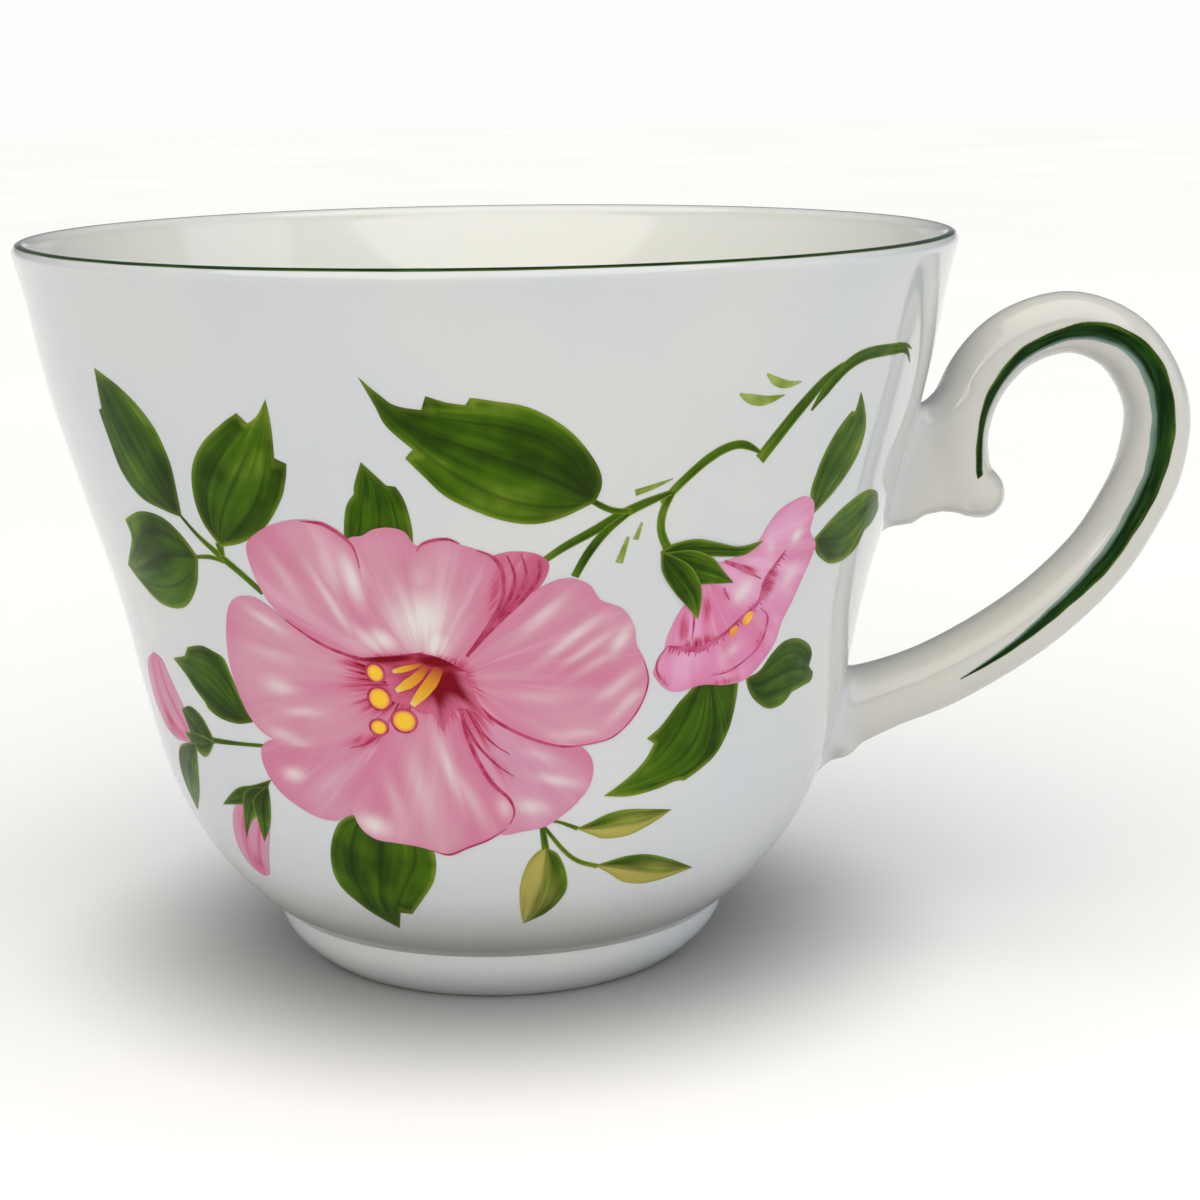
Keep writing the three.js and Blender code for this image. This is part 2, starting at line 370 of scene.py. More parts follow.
def leaf_green(name, seed, margin=0.8, young=0.0):
    """Printed leaf: soft brushed greens, dark veins and a yellow-green margin of so many millimetres."""
    shader = Shader(name, ENAMEL_ROUGHNESS, ENAMEL_SHINE)
    along, side, run = shader.attribute("along"), shader.attribute("side"), shader.attribute("run")
    broad = shader.streaks(side, run, 1.5, seed)
    fine = shader.streaks(side, run, 6.5, seed + 7.3, 3.0)
    clouds = shader.noise(shader.place(), 210.0, 2.0)
    tone = shader.plus(shader.times(broad, 0.45), shader.times(fine, 0.2))
    tone = shader.plus(tone, shader.times(clouds, 0.35))
    body = shader.ramp(tone, [
        (0.34, linear(24, 40, 0)), (0.46, linear(42, 68, 0)), (0.56, linear(64, 96, 4)),
        (0.68, linear(112, 134, 38)),
    ])
    spread = shader.plus(shader.times(side, 1.9), shader.times(broad, 0.5))
    off_vein = shader.math("SUBTRACT", shader.math("FRACT", shader.plus(spread, 40.25)), 0.5)
    vein = shader.remap(shader.math("ABSOLUTE", off_vein), 0.02, 0.13, 1.0, 0.0)
    vein = shader.times(vein, shader.remap(along, 0.45, 0.85, 0.55 - 0.4 * young, 0.0))
    body = shader.mix(vein, body, linear(28, 44, 4))
    root = shader.remap(along, 0.0, 0.35, 0.6, 0.0)
    body = shader.mix(root, body, linear(34, 48, 8))
    lower = shader.times(shader.streaks(side, run, 1.6, seed + 3.1), 0.8)
    lower = shader.plus(lower, shader.times(side, 0.2))
    body = shader.mix(shader.remap(lower, 0.2, 0.68, 0.0, young), body, linear(180, 166, 88))
    depth = shader.plus(shader.attribute("depth"), shader.times(fine, margin * 0.6))
    pale = shader.remap(depth, margin * 0.3, margin, 0.65, 0.0)
    pale = shader.math("MAXIMUM", pale, shader.remap(along, 0.75, 1.0, 0.0, 0.35))
    pale = shader.times(pale, shader.remap(clouds, 0.35, 0.62, 0.35, 1.0))
    body = shader.mix(pale, body, linear(124, 144, 42))
    shader.colour(body)
    return shader.material


def petal_pink(name, seed, main, light, heart):
    """Printed petal in long brush streaks. `heart` is how far along it the crimson of its root reaches."""
    shader = Shader(name, ENAMEL_ROUGHNESS, ENAMEL_SHINE)
    across, along = shader.attribute("across"), shader.attribute("along")
    broad = shader.streaks(across, along, 3.2, seed)
    fine = shader.streaks(across, along, 11.0, seed + 4.7, 3.0)
    hair = shader.streaks(across, along, 27.0, seed + 9.1)
    body = shader.mix(shader.remap(broad, 0.36, 0.66), main, light)
    body = shader.mix(shader.times(shader.remap(fine, 0.5, 0.3), 0.22), body, linear(192, 100, 136))
    body = shader.mix(shader.times(shader.remap(fine, 0.52, 0.72), 0.28), body, linear(220, 182, 198))
    body = shader.mix(shader.remap(shader.attribute("run"), 0.8, 1.0, 0.0, 0.3), body, linear(198, 108, 144))
    pale = shader.attribute("pale")
    pale = shader.math("MULTIPLY", pale, shader.remap(fine, 0.3, 0.6, 0.75, 1.15), clamp=True)
    body = shader.mix(pale, body, linear(217, 209, 206))
    root = shader.remap(along, 0.0, heart, 1.1, 0.0) if heart else 0.0
    red = shader.plus(root, shader.attribute("deep"))
    red = shader.times(red, shader.remap(hair, 0.36, 0.64, 0.45, 1.25))
    body = shader.mix(shader.remap(red, 0.0, 0.8, 0.0, 0.9), body, linear(184, 66, 100))
    body = shader.mix(shader.remap(red, 0.7, 1.3), body, linear(138, 14, 42))
    shader.colour(body)
    return shader.material


def throat_crimson():
    """The flower's open throat, near black-red in its depth and brushed out at the petals' roots."""
    shader = Shader("throat_crimson", ENAMEL_ROUGHNESS, ENAMEL_SHINE)
    across, along = shader.attribute("side"), shader.attribute("run")
    hair = shader.streaks(across, along, 30.0, 5.5)
    red = shader.mix(shader.remap(hair, 0.35, 0.65), linear(150, 34, 62), linear(176, 64, 90))
    depth = shader.plus(shader.attribute("deep"), shader.times(shader.math("SUBTRACT", hair, 0.5), 0.3))
    red = shader.mix(shader.remap(depth, 0.2, 0.75), red, linear(116, 4, 22))
    loose = shader.times(shader.remap(along, 0.5, 0.95), shader.remap(across, -0.4, -0.3))
    loose = shader.times(loose, shader.remap(hair, 0.3, 0.6, 1.0, 0.7))
    red = shader.mix(loose, red, linear(194, 100, 130))
    shader.colour(red)
    return shader.material


def tinted_along(name, *stops):
    """Enamel whose colour changes along a stroke, or outwards from a dot's middle."""
    shader = Shader(name, ENAMEL_ROUGHNESS, ENAMEL_SHINE)
    along = shader.attribute("along")
    shader.colour(shader.ramp(along, [(place, linear(*colour)) for place, colour in stops]))
    return shader.material


def plain_enamel(name, dark, light, scale):
    """Enamel of one colour, mottled between two shades."""
    shader = Shader(name, ENAMEL_ROUGHNESS, ENAMEL_SHINE)
    mottle = shader.noise(shader.place(), scale, 3.0)
    shader.colour(shader.mix(shader.remap(mottle, 0.35, 0.65), dark, light))
    return shader.material


def finish_piece(piece, material, slot, *nodes):
    """Gives a piece its material and its body, and hides the nodes it stands for. The slot is not used."""
    piece.data.materials.append(material)
    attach(piece, "root")
    if nodes:
        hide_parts(*nodes)
    return piece


# ---------------------------------------------------------------- body of the cup

SHADE_TOP = 13.5  # height at which the painted shade starts, greying the glaze down towards the foot


def build_bowl():
    join = (FOOT_REST_RADIUS - FOOT_REST_WIDTH + 0.8, UNDERSIDE_HEIGHT + 0.3)
    underside = [(radius, UNDERSIDE_HEIGHT) for radius in (0, 5, 10)] + [(14, UNDERSIDE_HEIGHT + 0.1), join]
    wall = OUTER_WALL[::3]
    lip = lip_arc(0, 180, LIP_RADIUS, 15)[1:-1]
    inside = INNER_WALL[::3]
    outline = np.concatenate([underside, wall, lip, inside])
    fade = 6  # points of the lip over which the glaze turns to its lighter inside tone, painted light
    first_lit_point = len(outline) - len(inside) - fade
    painted_inside_light = np.clip((np.arange(len(outline)) - first_lit_point) / fade, 0, 1)
    # Painted shade over the lower belly, strongest at the foot and kept off the inside.
    shade_towards_foot = np.clip((SHADE_TOP - outline[:, 1]) / (SHADE_TOP - FOOT_HEIGHT), 0, 1)
    pooled = 0.85 * shade_towards_foot ** 1.2 * (painted_inside_light == 0)
    made = revolve("glazed_bowl", outline, inside=painted_inside_light, pooled=pooled)
    return finish_piece(made, porcelain("porcelain_bowl_painted_light_and_shade", 0.0), "porcelain", "bowl")


def build_foot():
    inner = FOOT_REST_RADIUS - FOOT_REST_WIDTH
    rises = np.linspace(0, 1, 26)
    spread = FOOT_REST_RADIUS + (FOOT_TOP_RADIUS - FOOT_REST_RADIUS) * (1 - (1 - rises) ** 2)
    face = np.stack([spread, FOOT_HEIGHT * rises], axis=1)[1:]
    outline = [(inner + 0.25, 0), (inner + 0.9, 0)]
    outline += [(FOOT_REST_RADIUS - 0.5, 0), (FOOT_REST_RADIUS - 0.1, 0.02)]
    outline += [tuple(point) for point in face]
    outline += [(inner + 0.8, UNDERSIDE_HEIGHT + 0.3)]
    outline += [(inner + 0.4, 2.2), (inner + 0.1, 0.9), (inner + 0.08, 0.25)]
    return finish_piece(revolve("foot_ring_glazed", outline), foot_porcelain(), "porcelain", "foot_ring")


# ---------------------------------------------------------------- handle

# Centre line in the plane y = 0, as (x, z): from the scroll's knob over the crown and
# down the back into the belly, with half the thickness there, in the plane and across it.
HANDLE_LINE = [
    (48.0, 44.9, 2.2, 2.7), (46.5, 47.4, 2.6, 3.1), (46.1, 51.4, 2.9, 3.4), (47.7, 56, 3.0, 3.5),
    (51.4, 59.8, 3.0, 3.5), (57, 61.3, 3.0, 3.5), (62.4, 58.9, 3.05, 3.5), (65.55, 53.4, 3.15, 3.5),
    (65.2, 47.4, 3.25, 3.5), (63, 42.3, 3.2, 3.5), (59.4, 37, 3.25, 3.5), (53.2, 31.4, 3.3, 3.5),
    (45.2, 26.6, 3.35, 3.55), (38.6, 24.1, 3.45, 3.8), (32.5, 22.2, 4.45, 4.6), (28, 20.6, 5.6, 5.2),
]
WEB_OUTLINE = [(34, 41.0), (39.2, 41.5), (41.2, 41.75), (42.6, 42.6), (44.2, 42.9), (46.6, 42.7), (48.0, 46),
               (46.6, 54.6),
               (44.6, 54.2), (42.5, 53.4), (36, 53.2)]
KNOB = (48.25, 44.4, 2.35)
ROOT_LOBE = (34.1, 20.0, 2.1)
SINK = 0.02  # how far the handle's rooted skin lies under the bowl's glaze
ROOTED = 1.0  # how far the handle runs on under the bowl's skin
WEB_HALF_WIDTH, WEB_ROUNDING = 3.1, 2.2
ROD_TO_WEB, WEB_TO_KNOB, ROD_TO_LOBE, HANDLE_TO_BOWL = 1.6, 0.9, 0.7, 1.7  # blends where two forms meet
BLEND_REACH = 2.6  # furthest that a blend may stand off the handle
SQUARENESS = 2.3  # power of the rod's section, where 2 is an ellipse
LINE_TOP, LINE_ROOT = 0.035, -0.03  # faces of an enamel line, from the porcelain's skin

handle_curve = evenly(smooth_curve(HANDLE_LINE), 520)
handle_step = np.linalg.norm(np.diff(handle_curve[:, :2], axis=0), axis=1).mean()
handle_tangent = np.gradient(handle_curve[:, :2], axis=0)
handle_tangent /= np.linalg.norm(handle_tangent, axis=1, keepdims=True)


def soft_min(first, second, blend):
    share = np.clip(0.5 + 0.5 * (second - first) / blend, 0, 1)
    return second * (1 - share) + first * share - blend * share * (1 - share)


def soft_max(first, second, blend):
    return -soft_min(-first, -second, blend)


def polygon_distance(x, z, outline):
    """Distance from a closed outline, negative inside."""
    outline = np.array(outline, float)
    nearest = np.full(x.shape, 1e9)
    inside = np.zeros(x.shape, bool)
    for (ax, az), (bx, bz) in zip(outline, np.roll(outline, -1, axis=0)):
        dx, dz = bx - ax, bz - az
        share = np.clip(((x - ax) * dx + (z - az) * dz) / (dx * dx + dz * dz), 0, 1)
        nearest = np.minimum(nearest, np.hypot(x - ax - share * dx, z - az - share * dz))
        crosses = ((az > z) != (bz > z)) & (x < dx * (z - az) / (dz if dz else 1e-9) + ax)
        inside ^= crosses
    return np.where(inside, -nearest, nearest)


def nearest_on_line(x, z):
    """Index of the handle's centre line point nearest to each (x, z)."""
    best = np.full(x.shape, 1e9)
    index = np.zeros(x.shape, int)
    for i in range(0, len(handle_curve), 8):
        away = (x - handle_curve[i, 0]) ** 2 + (z - handle_curve[i, 1]) ** 2
        closer = away < best
        best = np.where(closer, away, best)
        index = np.where(closer, i, index)
    for shift in (4, 2, 1):
        for step in (-shift, shift):
            trial = np.clip(index + step, 0, len(handle_curve) - 1)
            away = (x - handle_curve[trial, 0]) ** 2 + (z - handle_curve[trial, 1]) ** 2
            closer = away < best
            best = np.where(closer, away, best)
            index = np.where(closer, trial, index)
    return index


def handle_distance(x, y, z):
    """Distance from the handle alone: rod, web, knob and root lobe, blended into one another."""
    index = nearest_on_line(x, z)
    from_x, from_z = x - handle_curve[index, 0], z - handle_curve[index, 1]
    tangent = handle_tangent[index]
    ahead = from_x * tangent[..., 0] + from_z * tangent[..., 1]
    aside = from_x * tangent[..., 1] - from_z * tangent[..., 0]
    place = np.clip(index + ahead / handle_step, 0, len(handle_curve) - 1)
    beyond = np.where((index == 0) & (ahead < 0), ahead, 0)
    thick = np.interp(place, np.arange(len(handle_curve)), handle_curve[:, 2])
    wide = np.interp(place, np.arange(len(handle_curve)), handle_curve[:, 3])
    reach = (np.hypot(aside, beyond) / thick) ** SQUARENESS + (np.abs(y) / wide) ** SQUARENESS
    rod = (reach ** (1 / SQUARENESS) - 1) * np.minimum(thick, wide)
    web = soft_max(polygon_distance(x, z, WEB_OUTLINE), np.abs(y) - WEB_HALF_WIDTH, WEB_ROUNDING)
    knob = np.sqrt((x - KNOB[0]) ** 2 + (y * 0.86) ** 2 + (z - KNOB[1]) ** 2) - KNOB[2]
    lobe = np.sqrt((x - ROOT_LOBE[0]) ** 2 + (y * 0.5) ** 2 + (z - ROOT_LOBE[1]) ** 2) - ROOT_LOBE[2]
    shape = soft_min(rod, web, ROD_TO_WEB)
    shape = soft_min(shape, knob, WEB_TO_KNOB)
    return soft_min(shape, lobe, ROD_TO_LOBE)


def handle_field(points):
    """Field of the handle with its fillets into the bowl: negative inside, zero on the skin."""
    x, y, z = points[..., 0], points[..., 1], points[..., 2]
    lean = 1 / np.sqrt(1 + wall_slope(z) ** 2)
    bowl = (np.hypot(x, y) - wall_radius(z)) * lean
    handle = handle_distance(x, y, z)
    joined = soft_min(handle, bowl + SINK, HANDLE_TO_BOWL)
    behind_skin = -(bowl + ROOTED)
    near_handle = handle - BLEND_REACH
    return np.maximum(np.maximum(joined, behind_skin), near_handle)


def settle(points, level=0.0, rounds=3):
    """Moves points along the field's slope until they lie on its surface at `level`."""
    nudge = 0.01
    for _ in range(rounds):
        value = handle_field(points) - level
        slope = np.stack([
            (handle_field(points + nudge * np.eye(3)[axis]) - handle_field(points - nudge * np.eye(3)[axis]))
            / (2 * nudge) for axis in range(3)
        ], axis=-1)
        size = np.maximum((slope ** 2).sum(axis=-1, keepdims=True), 0.2)
        points = points - np.clip(value, -0.3, 0.3)[..., None] * slope / size
    return points


def surface_of(field, low, high, step):
    """Quads of a field's zero surface by surface nets: one vertex in each cell it crosses."""
    axes = [np.arange(a, b + step, step) for a, b in zip(low, high)]
    corners = np.stack(np.meshgrid(*axes, indexing="ij"), axis=-1)
    values = field(corners)
    inside = values < 0
    shape = np.array(values.shape) - 1
    total = np.zeros(tuple(shape) + (3,))
    crossings = np.zeros(tuple(shape))
    offsets = [(i, j, k) for i in (0, 1) for j in (0, 1) for k in (0, 1)]
    for start in offsets:
        for axis in range(3):
            if start[axis]:
                continue
            end = tuple(1 if a == axis else start[a] for a in range(3))
            cut_a = tuple(slice(s, s + n) for s, n in zip(start, shape))
            cut_b = tuple(slice(e, e + n) for e, n in zip(end, shape))
            first, second = values[cut_a], values[cut_b]
            crossed = inside[cut_a] != inside[cut_b]
            share = np.where(crossed, first / np.where(crossed, first - second, 1), 0)
            place = np.array(start, float) + share[..., None] * np.eye(3)[axis]
            total += np.where(crossed[..., None], place, 0)
            crossings += crossed
    active = crossings > 0
    number = np.full(tuple(shape), -1)
    number[active] = np.arange(active.sum())
    cells = np.argwhere(active)
    vertices = np.array(low) + step * (cells + total[active] / crossings[active][:, None])
    faces = []
    for axis in range(3):
        other, third = (axis + 1) % 3, (axis + 2) % 3
        here = tuple(slice(0, -1) if a == axis else slice(1, -1) for a in range(3))
        there = tuple(slice(1, None) if a == axis else slice(1, -1) for a in range(3))
        changed = inside[here] != inside[there]
        found = np.argwhere(changed)
        outwards = inside[here][changed]
        found[:, other] += 1
        found[:, third] += 1
        ring = []
        for step_other, step_third in ((-1, -1), (0, -1), (0, 0), (-1, 0)):
            cell = found.copy()
            cell[:, other] += step_other
            cell[:, third] += step_third
            ring.append(number[cell[:, 0], cell[:, 1], cell[:, 2]])
        quads = np.stack(ring, axis=1)
        quads[~outwards] = quads[~outwards][:, ::-1]
        faces += quads.tolist()
    return vertices, faces


def build_handle():
    low, high, cell = (30.2, -8.2, 13.2), (70.4, 8.3, 66.2), 0.3
    vertices, faces = surface_of(handle_field, low, high, cell)
    places = settle(vertices)
    clear = np.hypot(places[:, 0], places[:, 1]) - wall_radius(places[:, 2])
    fade = 3  # millimetres off the bowl over which its colour turns from the bowl's tone to the handle's painted shade
    made = make_object("scroll_handle", places, faces, {"joined": np.clip(1.15 - clear / fade, 0, 1)})
    # The handle's glaze is painted darker and warmer than the bowl's, as shade.
    glaze = porcelain("porcelain_handle_painted_shade", 3.0, (199, 197, 188), (193, 192, 186))
    return finish_piece(made, glaze, "porcelain", "handle", "handle_upper_lute", "handle_lower_lute")


# The brushed line: how far along it, its shift towards the inside of the loop, its width
HANDLE_STRIPE = [
    (0, 0.6, 0.7), (0.04, 1.4, 1.0), (0.09, 1.8, 1.25), (0.2, 1.4, 1.55), (0.28, 0.95, 1.6), (0.36, 0, 2.0),
    (0.43, -0.3, 2.4), (0.5, 0.2, 2.5), (0.6, 0.2, 2.2), (0.75, 0.1, 1.7), (0.84, 0.05, 1.2),
    (0.93, -0.35, 0.7), (1, -0.55, 0.1),
]


def build_handle_line(name, side, node):
    """The brushed line on the handle's side face, tapering away at both ends."""
    first, last = 10, 410  # of the centre line's points
    rows, columns = 300, 13
    share = np.linspace(0, 1, rows)
    index = (first + share * (last - first)).astype(int)
    stripe = smooth_curve(HANDLE_STRIPE)
    shift = np.interp(share, stripe[:, 0], stripe[:, 1])
    half_width = np.interp(share, stripe[:, 0], stripe[:, 2]) / 2
    half_width *= 1 + 0.04 * np.sin(share * 61) + 0.03 * np.sin(share * 143 + 1)
    across = np.linspace(-1, 1, columns)
    aside = half_width[:, None] * across + shift[:, None]
    tangent = handle_tangent[index]
    centre = handle_curve[index]
    guess = np.stack([
        centre[:, 0, None] + aside * tangent[:, 1, None],
        np.broadcast_to(side * centre[:, 3, None], aside.shape),
        centre[:, 1, None] - aside * tangent[:, 0, None],
    ], axis=-1)
    if side > 0:
        guess, across = guess[:, ::-1], across[::-1]
    skin = settle(guess, 0.0, 5)
    vertices, faces = slab(settle(skin, LINE_TOP, 2), settle(skin, LINE_ROOT, 2))
    along = np.broadcast_to(share[:, None], aside.shape).ravel()
    edge = np.broadcast_to(across, aside.shape).ravel()
    attributes = {"along": np.tile(along, 2), "across": np.tile(edge, 2)}
    made = make_object(name, vertices, faces, attributes)
    return finish_piece(made, green_line(name + "_enamel", 2.0 + side), "green_enamel", node)


def build_rim_line():
    """The enamel band on the lip. Its two edges wander a little, as a hand on a wheel does."""
    around, columns = 720, 9
    turn = np.linspace(0, 2 * math.pi, around, endpoint=False)
    wander = 0.5 * np.sin(5 * turn + 1) + 0.3 * np.sin(13 * turn) + 0.2 * np.sin(31 * turn + 2)
    start, end = 53 + 2 * wander, 96 + 3 * np.roll(wander, 90)  # degrees over the lip, 0 is outwards
    angles = np.radians(start[:, None] + (end - start)[:, None] * np.linspace(0, 1, columns))
    grids = []
    for lift in (LINE_TOP, LINE_ROOT):
        radius = LIP_CENTRE[0] + (LIP_RADIUS + lift) * np.cos(angles)
        height = LIP_CENTRE[1] + (LIP_RADIUS + lift) * np.sin(angles)
        x, y = radius * np.cos(turn)[:, None], radius * np.sin(turn)[:, None]
        grids.append(np.stack([x, y, height], axis=-1))
    vertices, faces = slab(*grids, wrap=True)
    along = np.broadcast_to((turn / 2)[:, None], (around, columns)).ravel()
    across = np.broadcast_to(np.linspace(-1, 1, columns), (around, columns)).ravel()
    attributes = {"along": np.tile(along, 2), "across": np.tile(across, 2)}
    made = make_object("rim_line_enamel", vertices, faces, attributes)
    return finish_piece(made, green_line("rim_enamel", 9.0), "green_enamel", "rim_line")


# ---------------------------------------------------------------- floral transfer

PRINT_ROOT = -0.05  # under face of a printed piece, from the bowl's outer wall
PRINT_STEP = 0.012  # rise shared out over the slabs of one piece
STROKE_STEP = 0.35  # millimetres between the rows of a stroke
STEM_LIFT, LEAF_LIFT, FLOWER_LIFT, BUD_CALYX_LIFT = 0.03, 0.04, 0.05, 0.06  # upper faces, off the bowl
FAN_HOLE = 0.002  # share of the way out at which a fan's first row lies
FAN_SPREAD = 1.3  # bearing, in radians from a fan's middle, that counts as one side of it

# Brush marks of the big flower: from (turn, height) to (turn, height), half width in mm, strength
PALE_MARKS = [
    (-14.5, 41, -5, 40.8, 2.8, 1), (-10, 39.4, -6, 38.4, 1.4, 1), (-19, 39.2, -12, 38.8, 1.0, 0.8),
    (-9.8, 42.6, -9.2, 46.5, 1.0, 0.35),
    (-18.8, 47.4, -17.5, 42, 0.75, 0.8), (-24.2, 46, -19, 38.8, 0.4, 0.55), (-22, 48, -20, 42, 0.7, 0.4),
    (-30, 47.5, -25, 41, 0.6, 0.25), (-35.5, 41.2, -28.5, 38.7, 0.45, 0.6), (-35.5, 34, -29, 33.7, 0.8, 0.65),
    (-33, 31.6, -24, 31.7, 0.5, 0.4), (-37, 37.3, -27, 36.2, 0.6, 0.3), (-36.5, 29.6, -28, 28.4, 0.7, 0.5),
    (-34.8, 25.2, -29.8, 25.5, 0.65, 0.7), (-31, 22.8, -22.5, 27, 0.6, 0.25),
    (-22.8, 21.8, -17, 20.6, 1.0, 0.85),
    (-13, 29.5, -10.6, 21.4, 0.9, 0.4), (-9, 30.6, -5, 22.6, 0.5, 0.6), (-7.4, 28, -2, 21, 0.6, 0.5),
    (0, 24.6, 1.4, 22, 0.6, 0.6),
    (-17, 27, -15, 21.6, 0.6, 0.25), (4.4, 26.3, 12, 25, 0.5, 0.6), (1.8, 23.6, 8, 22.8, 0.75, 0.6),
    (2.6, 28.8, 9.5, 27.5, 0.5, 0.25),
    (2.6, 39.2, 9.4, 43.2, 0.6, 0.5), (5.2, 36.6, 14.2, 41.2, 0.5, 0.6), (7.8, 36, 16.4, 39.8, 0.4, 0.45),
    (8.8, 34.8, 18, 38.2, 0.45, 0.35),
    (15.2, 36.8, 18.2, 40.2, 0.6, 0.65), (13, 32.6, 20.6, 36, 0.6, 0.5), (15.4, 30.8, 20.6, 33.8, 0.5, 0.55),
    (7, 30, 15, 29.9, 0.5, 0.4),
    (1.6, 34, 11, 33.2, 0.5, 0.25), (33.4, 42.2, 35.8, 41, 1.2, 0.75), (41.8, 46.4, 43.4, 45.6, 0.7, 0.8),
    (32.6, 35.4, 36.4, 36.6, 0.6, 0.4), (37.4, 46.4, 38.6, 44.4, 0.5, 0.35), (42.2, 41, 43.8, 43.4, 0.8, 0.5),
]
DEEP_MARKS = [
    (-6.4, 37, -6.4, 33, 1.5, 1), (-23, 28.8, -16, 29.9, 0.7, 0.7), (-21.5, 35.4, -13, 35.8, 0.9, 0.8),
    (-20.5, 33, -12.5, 33.4, 0.8, 0.7),
    (-5, 34.4, -1.6, 27.6, 1.1, 0.8), (-3, 29.4, 2.6, 25, 0.8, 0.4), (-8.2, 33.6, -7.4, 29.8, 0.7, 0.7),
    (0.8, 46.8, -1, 40, 0.5, 0.6),
    (-4.6, 36.4, -1.4, 33, 0.5, 0.6), (-6.4, 37.4, -6.8, 31.5, 2.2, 1), (-12, 37.4, -4, 36.8, 0.6, 1),
    (-20.5, 37, -9, 37.6, 0.5, 0.85),
    (-63.5, 28.8, -61, 25.8, 1.0, 1), (-46.5, 15.8, -49, 13.4, 0.6, 0.7),
    (-22.5, 36.8, -15, 36.3, 0.4, 0.7), (-22.5, 34.4, -15, 34.2, 0.35, 0.6),
    (31.4, 44.7, 37, 42.8, 0.5, 1), (40, 44, 38.6, 40, 0.8, 0.9), (25.6, 40.6, 26.2, 36.8, 0.5, 0.75),
    (24, 36.9, 32.6, 37.6, 0.6, 0.95), (35.4, 39, 38.2, 40.6, 0.5, 0.6), (40.6, 39, 39, 35, 0.5, 0.45),
    (31, 34.1, 36.4, 34.2, 0.25, 0.45),
    (30, 33.1, 37.8, 33.1, 0.4, 0.7), (22.2, 35.2, 24.2, 33.5, 0.35, 0.6), (28.8, 42.2, 29.6, 39, 0.5, 0.75),
    (31, 42.2, 32.4, 41, 0.2, 0.5),
]


def marks(places, strokes):
    """How strongly soft brush marks cover each place, from 0 to 1."""
    cover = np.zeros(places.shape[:-1])
    turn_scale, height_scale = millimetres(places)
    for turn_0, height_0, turn_1, height_1, half_width, strength in strokes:
        run, rise = (turn_1 - turn_0) * turn_scale / 2, (height_1 - height_0) * height_scale / 2
        half_length = np.hypot(run, rise)
        x = (places[..., 0] - (turn_0 + turn_1) / 2) * turn_scale
        y = (places[..., 1] - (height_0 + height_1) / 2) * height_scale
        onward = (x * run + y * rise) / half_length ** 2
        sideways = (x * rise - y * run) / half_length / half_width
        cover = np.maximum(cover, strength * np.exp(-1.6 * onward ** 2 - sideways ** 2))
    return cover


def millimetres(places):
    """Degrees and height turned into lengths over the wall, at each place."""
    return np.radians(1) * wall_radius(places[..., 1]), np.sqrt(1 + wall_slope(places[..., 1]) ** 2)


def grain(places, left, right):
    """Where each place lies along a leaf and between its sides, as smooth as if it had no teeth."""
    scale = [unit.mean() for unit in millimetres(left)]
    root, chord = left[0], (left[-1] - left[0]) * scale

    def chord_place(points):
        offset = (points - root) * scale / np.hypot(*chord)
        onward = chord / np.hypot(*chord)
        return offset @ onward, offset[..., 0] * onward[1] - offset[..., 1] * onward[0]

    def bow(run):
        return np.stack([run * (1 - run) * run ** power for power in range(3)], axis=-1)

    run, sideways = chord_place(places)
    run = np.clip(run, 0.001, 0.999)
    edges = []
    for edge in (left, right):
        edge_run, edge_side = chord_place(edge)
        edges.append(bow(run) @ np.linalg.lstsq(bow(edge_run), edge_side, rcond=None)[0])
    half = np.abs(edges[1] - edges[0]) / 2 + 0.01
    return run, np.clip((sideways - (edges[0] + edges[1]) / 2) / half, -1.4, 1.4)


def blade(left, right, rows=72, columns=17):
    """Grid between two edges that both run from a leaf's root to its tip."""
    left_edge = evenly(smooth_curve(left), rows, WALL_UNITS)
    right_edge = evenly(smooth_curve(right), rows, WALL_UNITS)
    across = np.linspace(-1, 1, columns)
    share = (across + 1) / 2
    places = left_edge[:, None] * (1 - share)[:, None] + right_edge[:, None] * share[:, None]
    along = np.linspace(0, 1, rows)[:, None] + 0 * across
    return places, along, 0 * along + across, *grain(places, left_edge, right_edge)


def fan(source, centre, edge, rows=60, columns=150):
    """Grid from a point inside a petal out to its edge. Its brush strokes spread from the source."""
    unit = np.array(WALL_UNITS)
    rim = evenly(smooth_curve(edge + edge[:1]), columns, unit)
    out = np.linspace(FAN_HOLE, 1, rows)[:, None]
    places = np.array(centre) + (rim[None] - np.array(centre)) * out[..., None]
    away, onward = (places - source) * unit, (rim.mean(axis=0) - source) * unit
    bearing = np.arctan2(away[..., 1] * onward[0] - away[..., 0] * onward[1], away @ onward)
    distance = np.hypot(away[..., 0], away[..., 1])
    flat = np.linspace(-1, 1, columns)
    return places, distance / distance.max(), bearing / FAN_SPREAD, out + 0 * flat, 0 * out + flat


def stroke(path, widths):
    """Grid of a brush stroke along a path, with its full width given from start to end."""
    curve = smooth_curve(path)
    turn_scale, height_scale = millimetres(curve)
    scale = (turn_scale.mean(), height_scale.mean())
    length = np.hypot(*(np.diff(curve, axis=0) * scale).T).sum()
    rows = max(8, int(length / STROKE_STEP))
    line = evenly(curve, rows, scale)
    travel = np.gradient(line, axis=0) * scale
    travel /= np.linalg.norm(travel, axis=1, keepdims=True)
    half = np.interp(np.linspace(0, 1, rows), np.linspace(0, 1, len(widths)), widths) / 2
    normal = np.stack([-travel[:, 1] / scale[0], travel[:, 0] / scale[1]], axis=1)
    across = np.linspace(-1, 1, 7)
    places = line[:, None] + normal[:, None] * half[:, None, None] * across[None, :, None]
    return places, np.linspace(0, 1, rows)[:, None] + 0 * across, 0 * places[..., 0] + across


def strokes(table):
    return [stroke(path, widths) for path, widths in table]


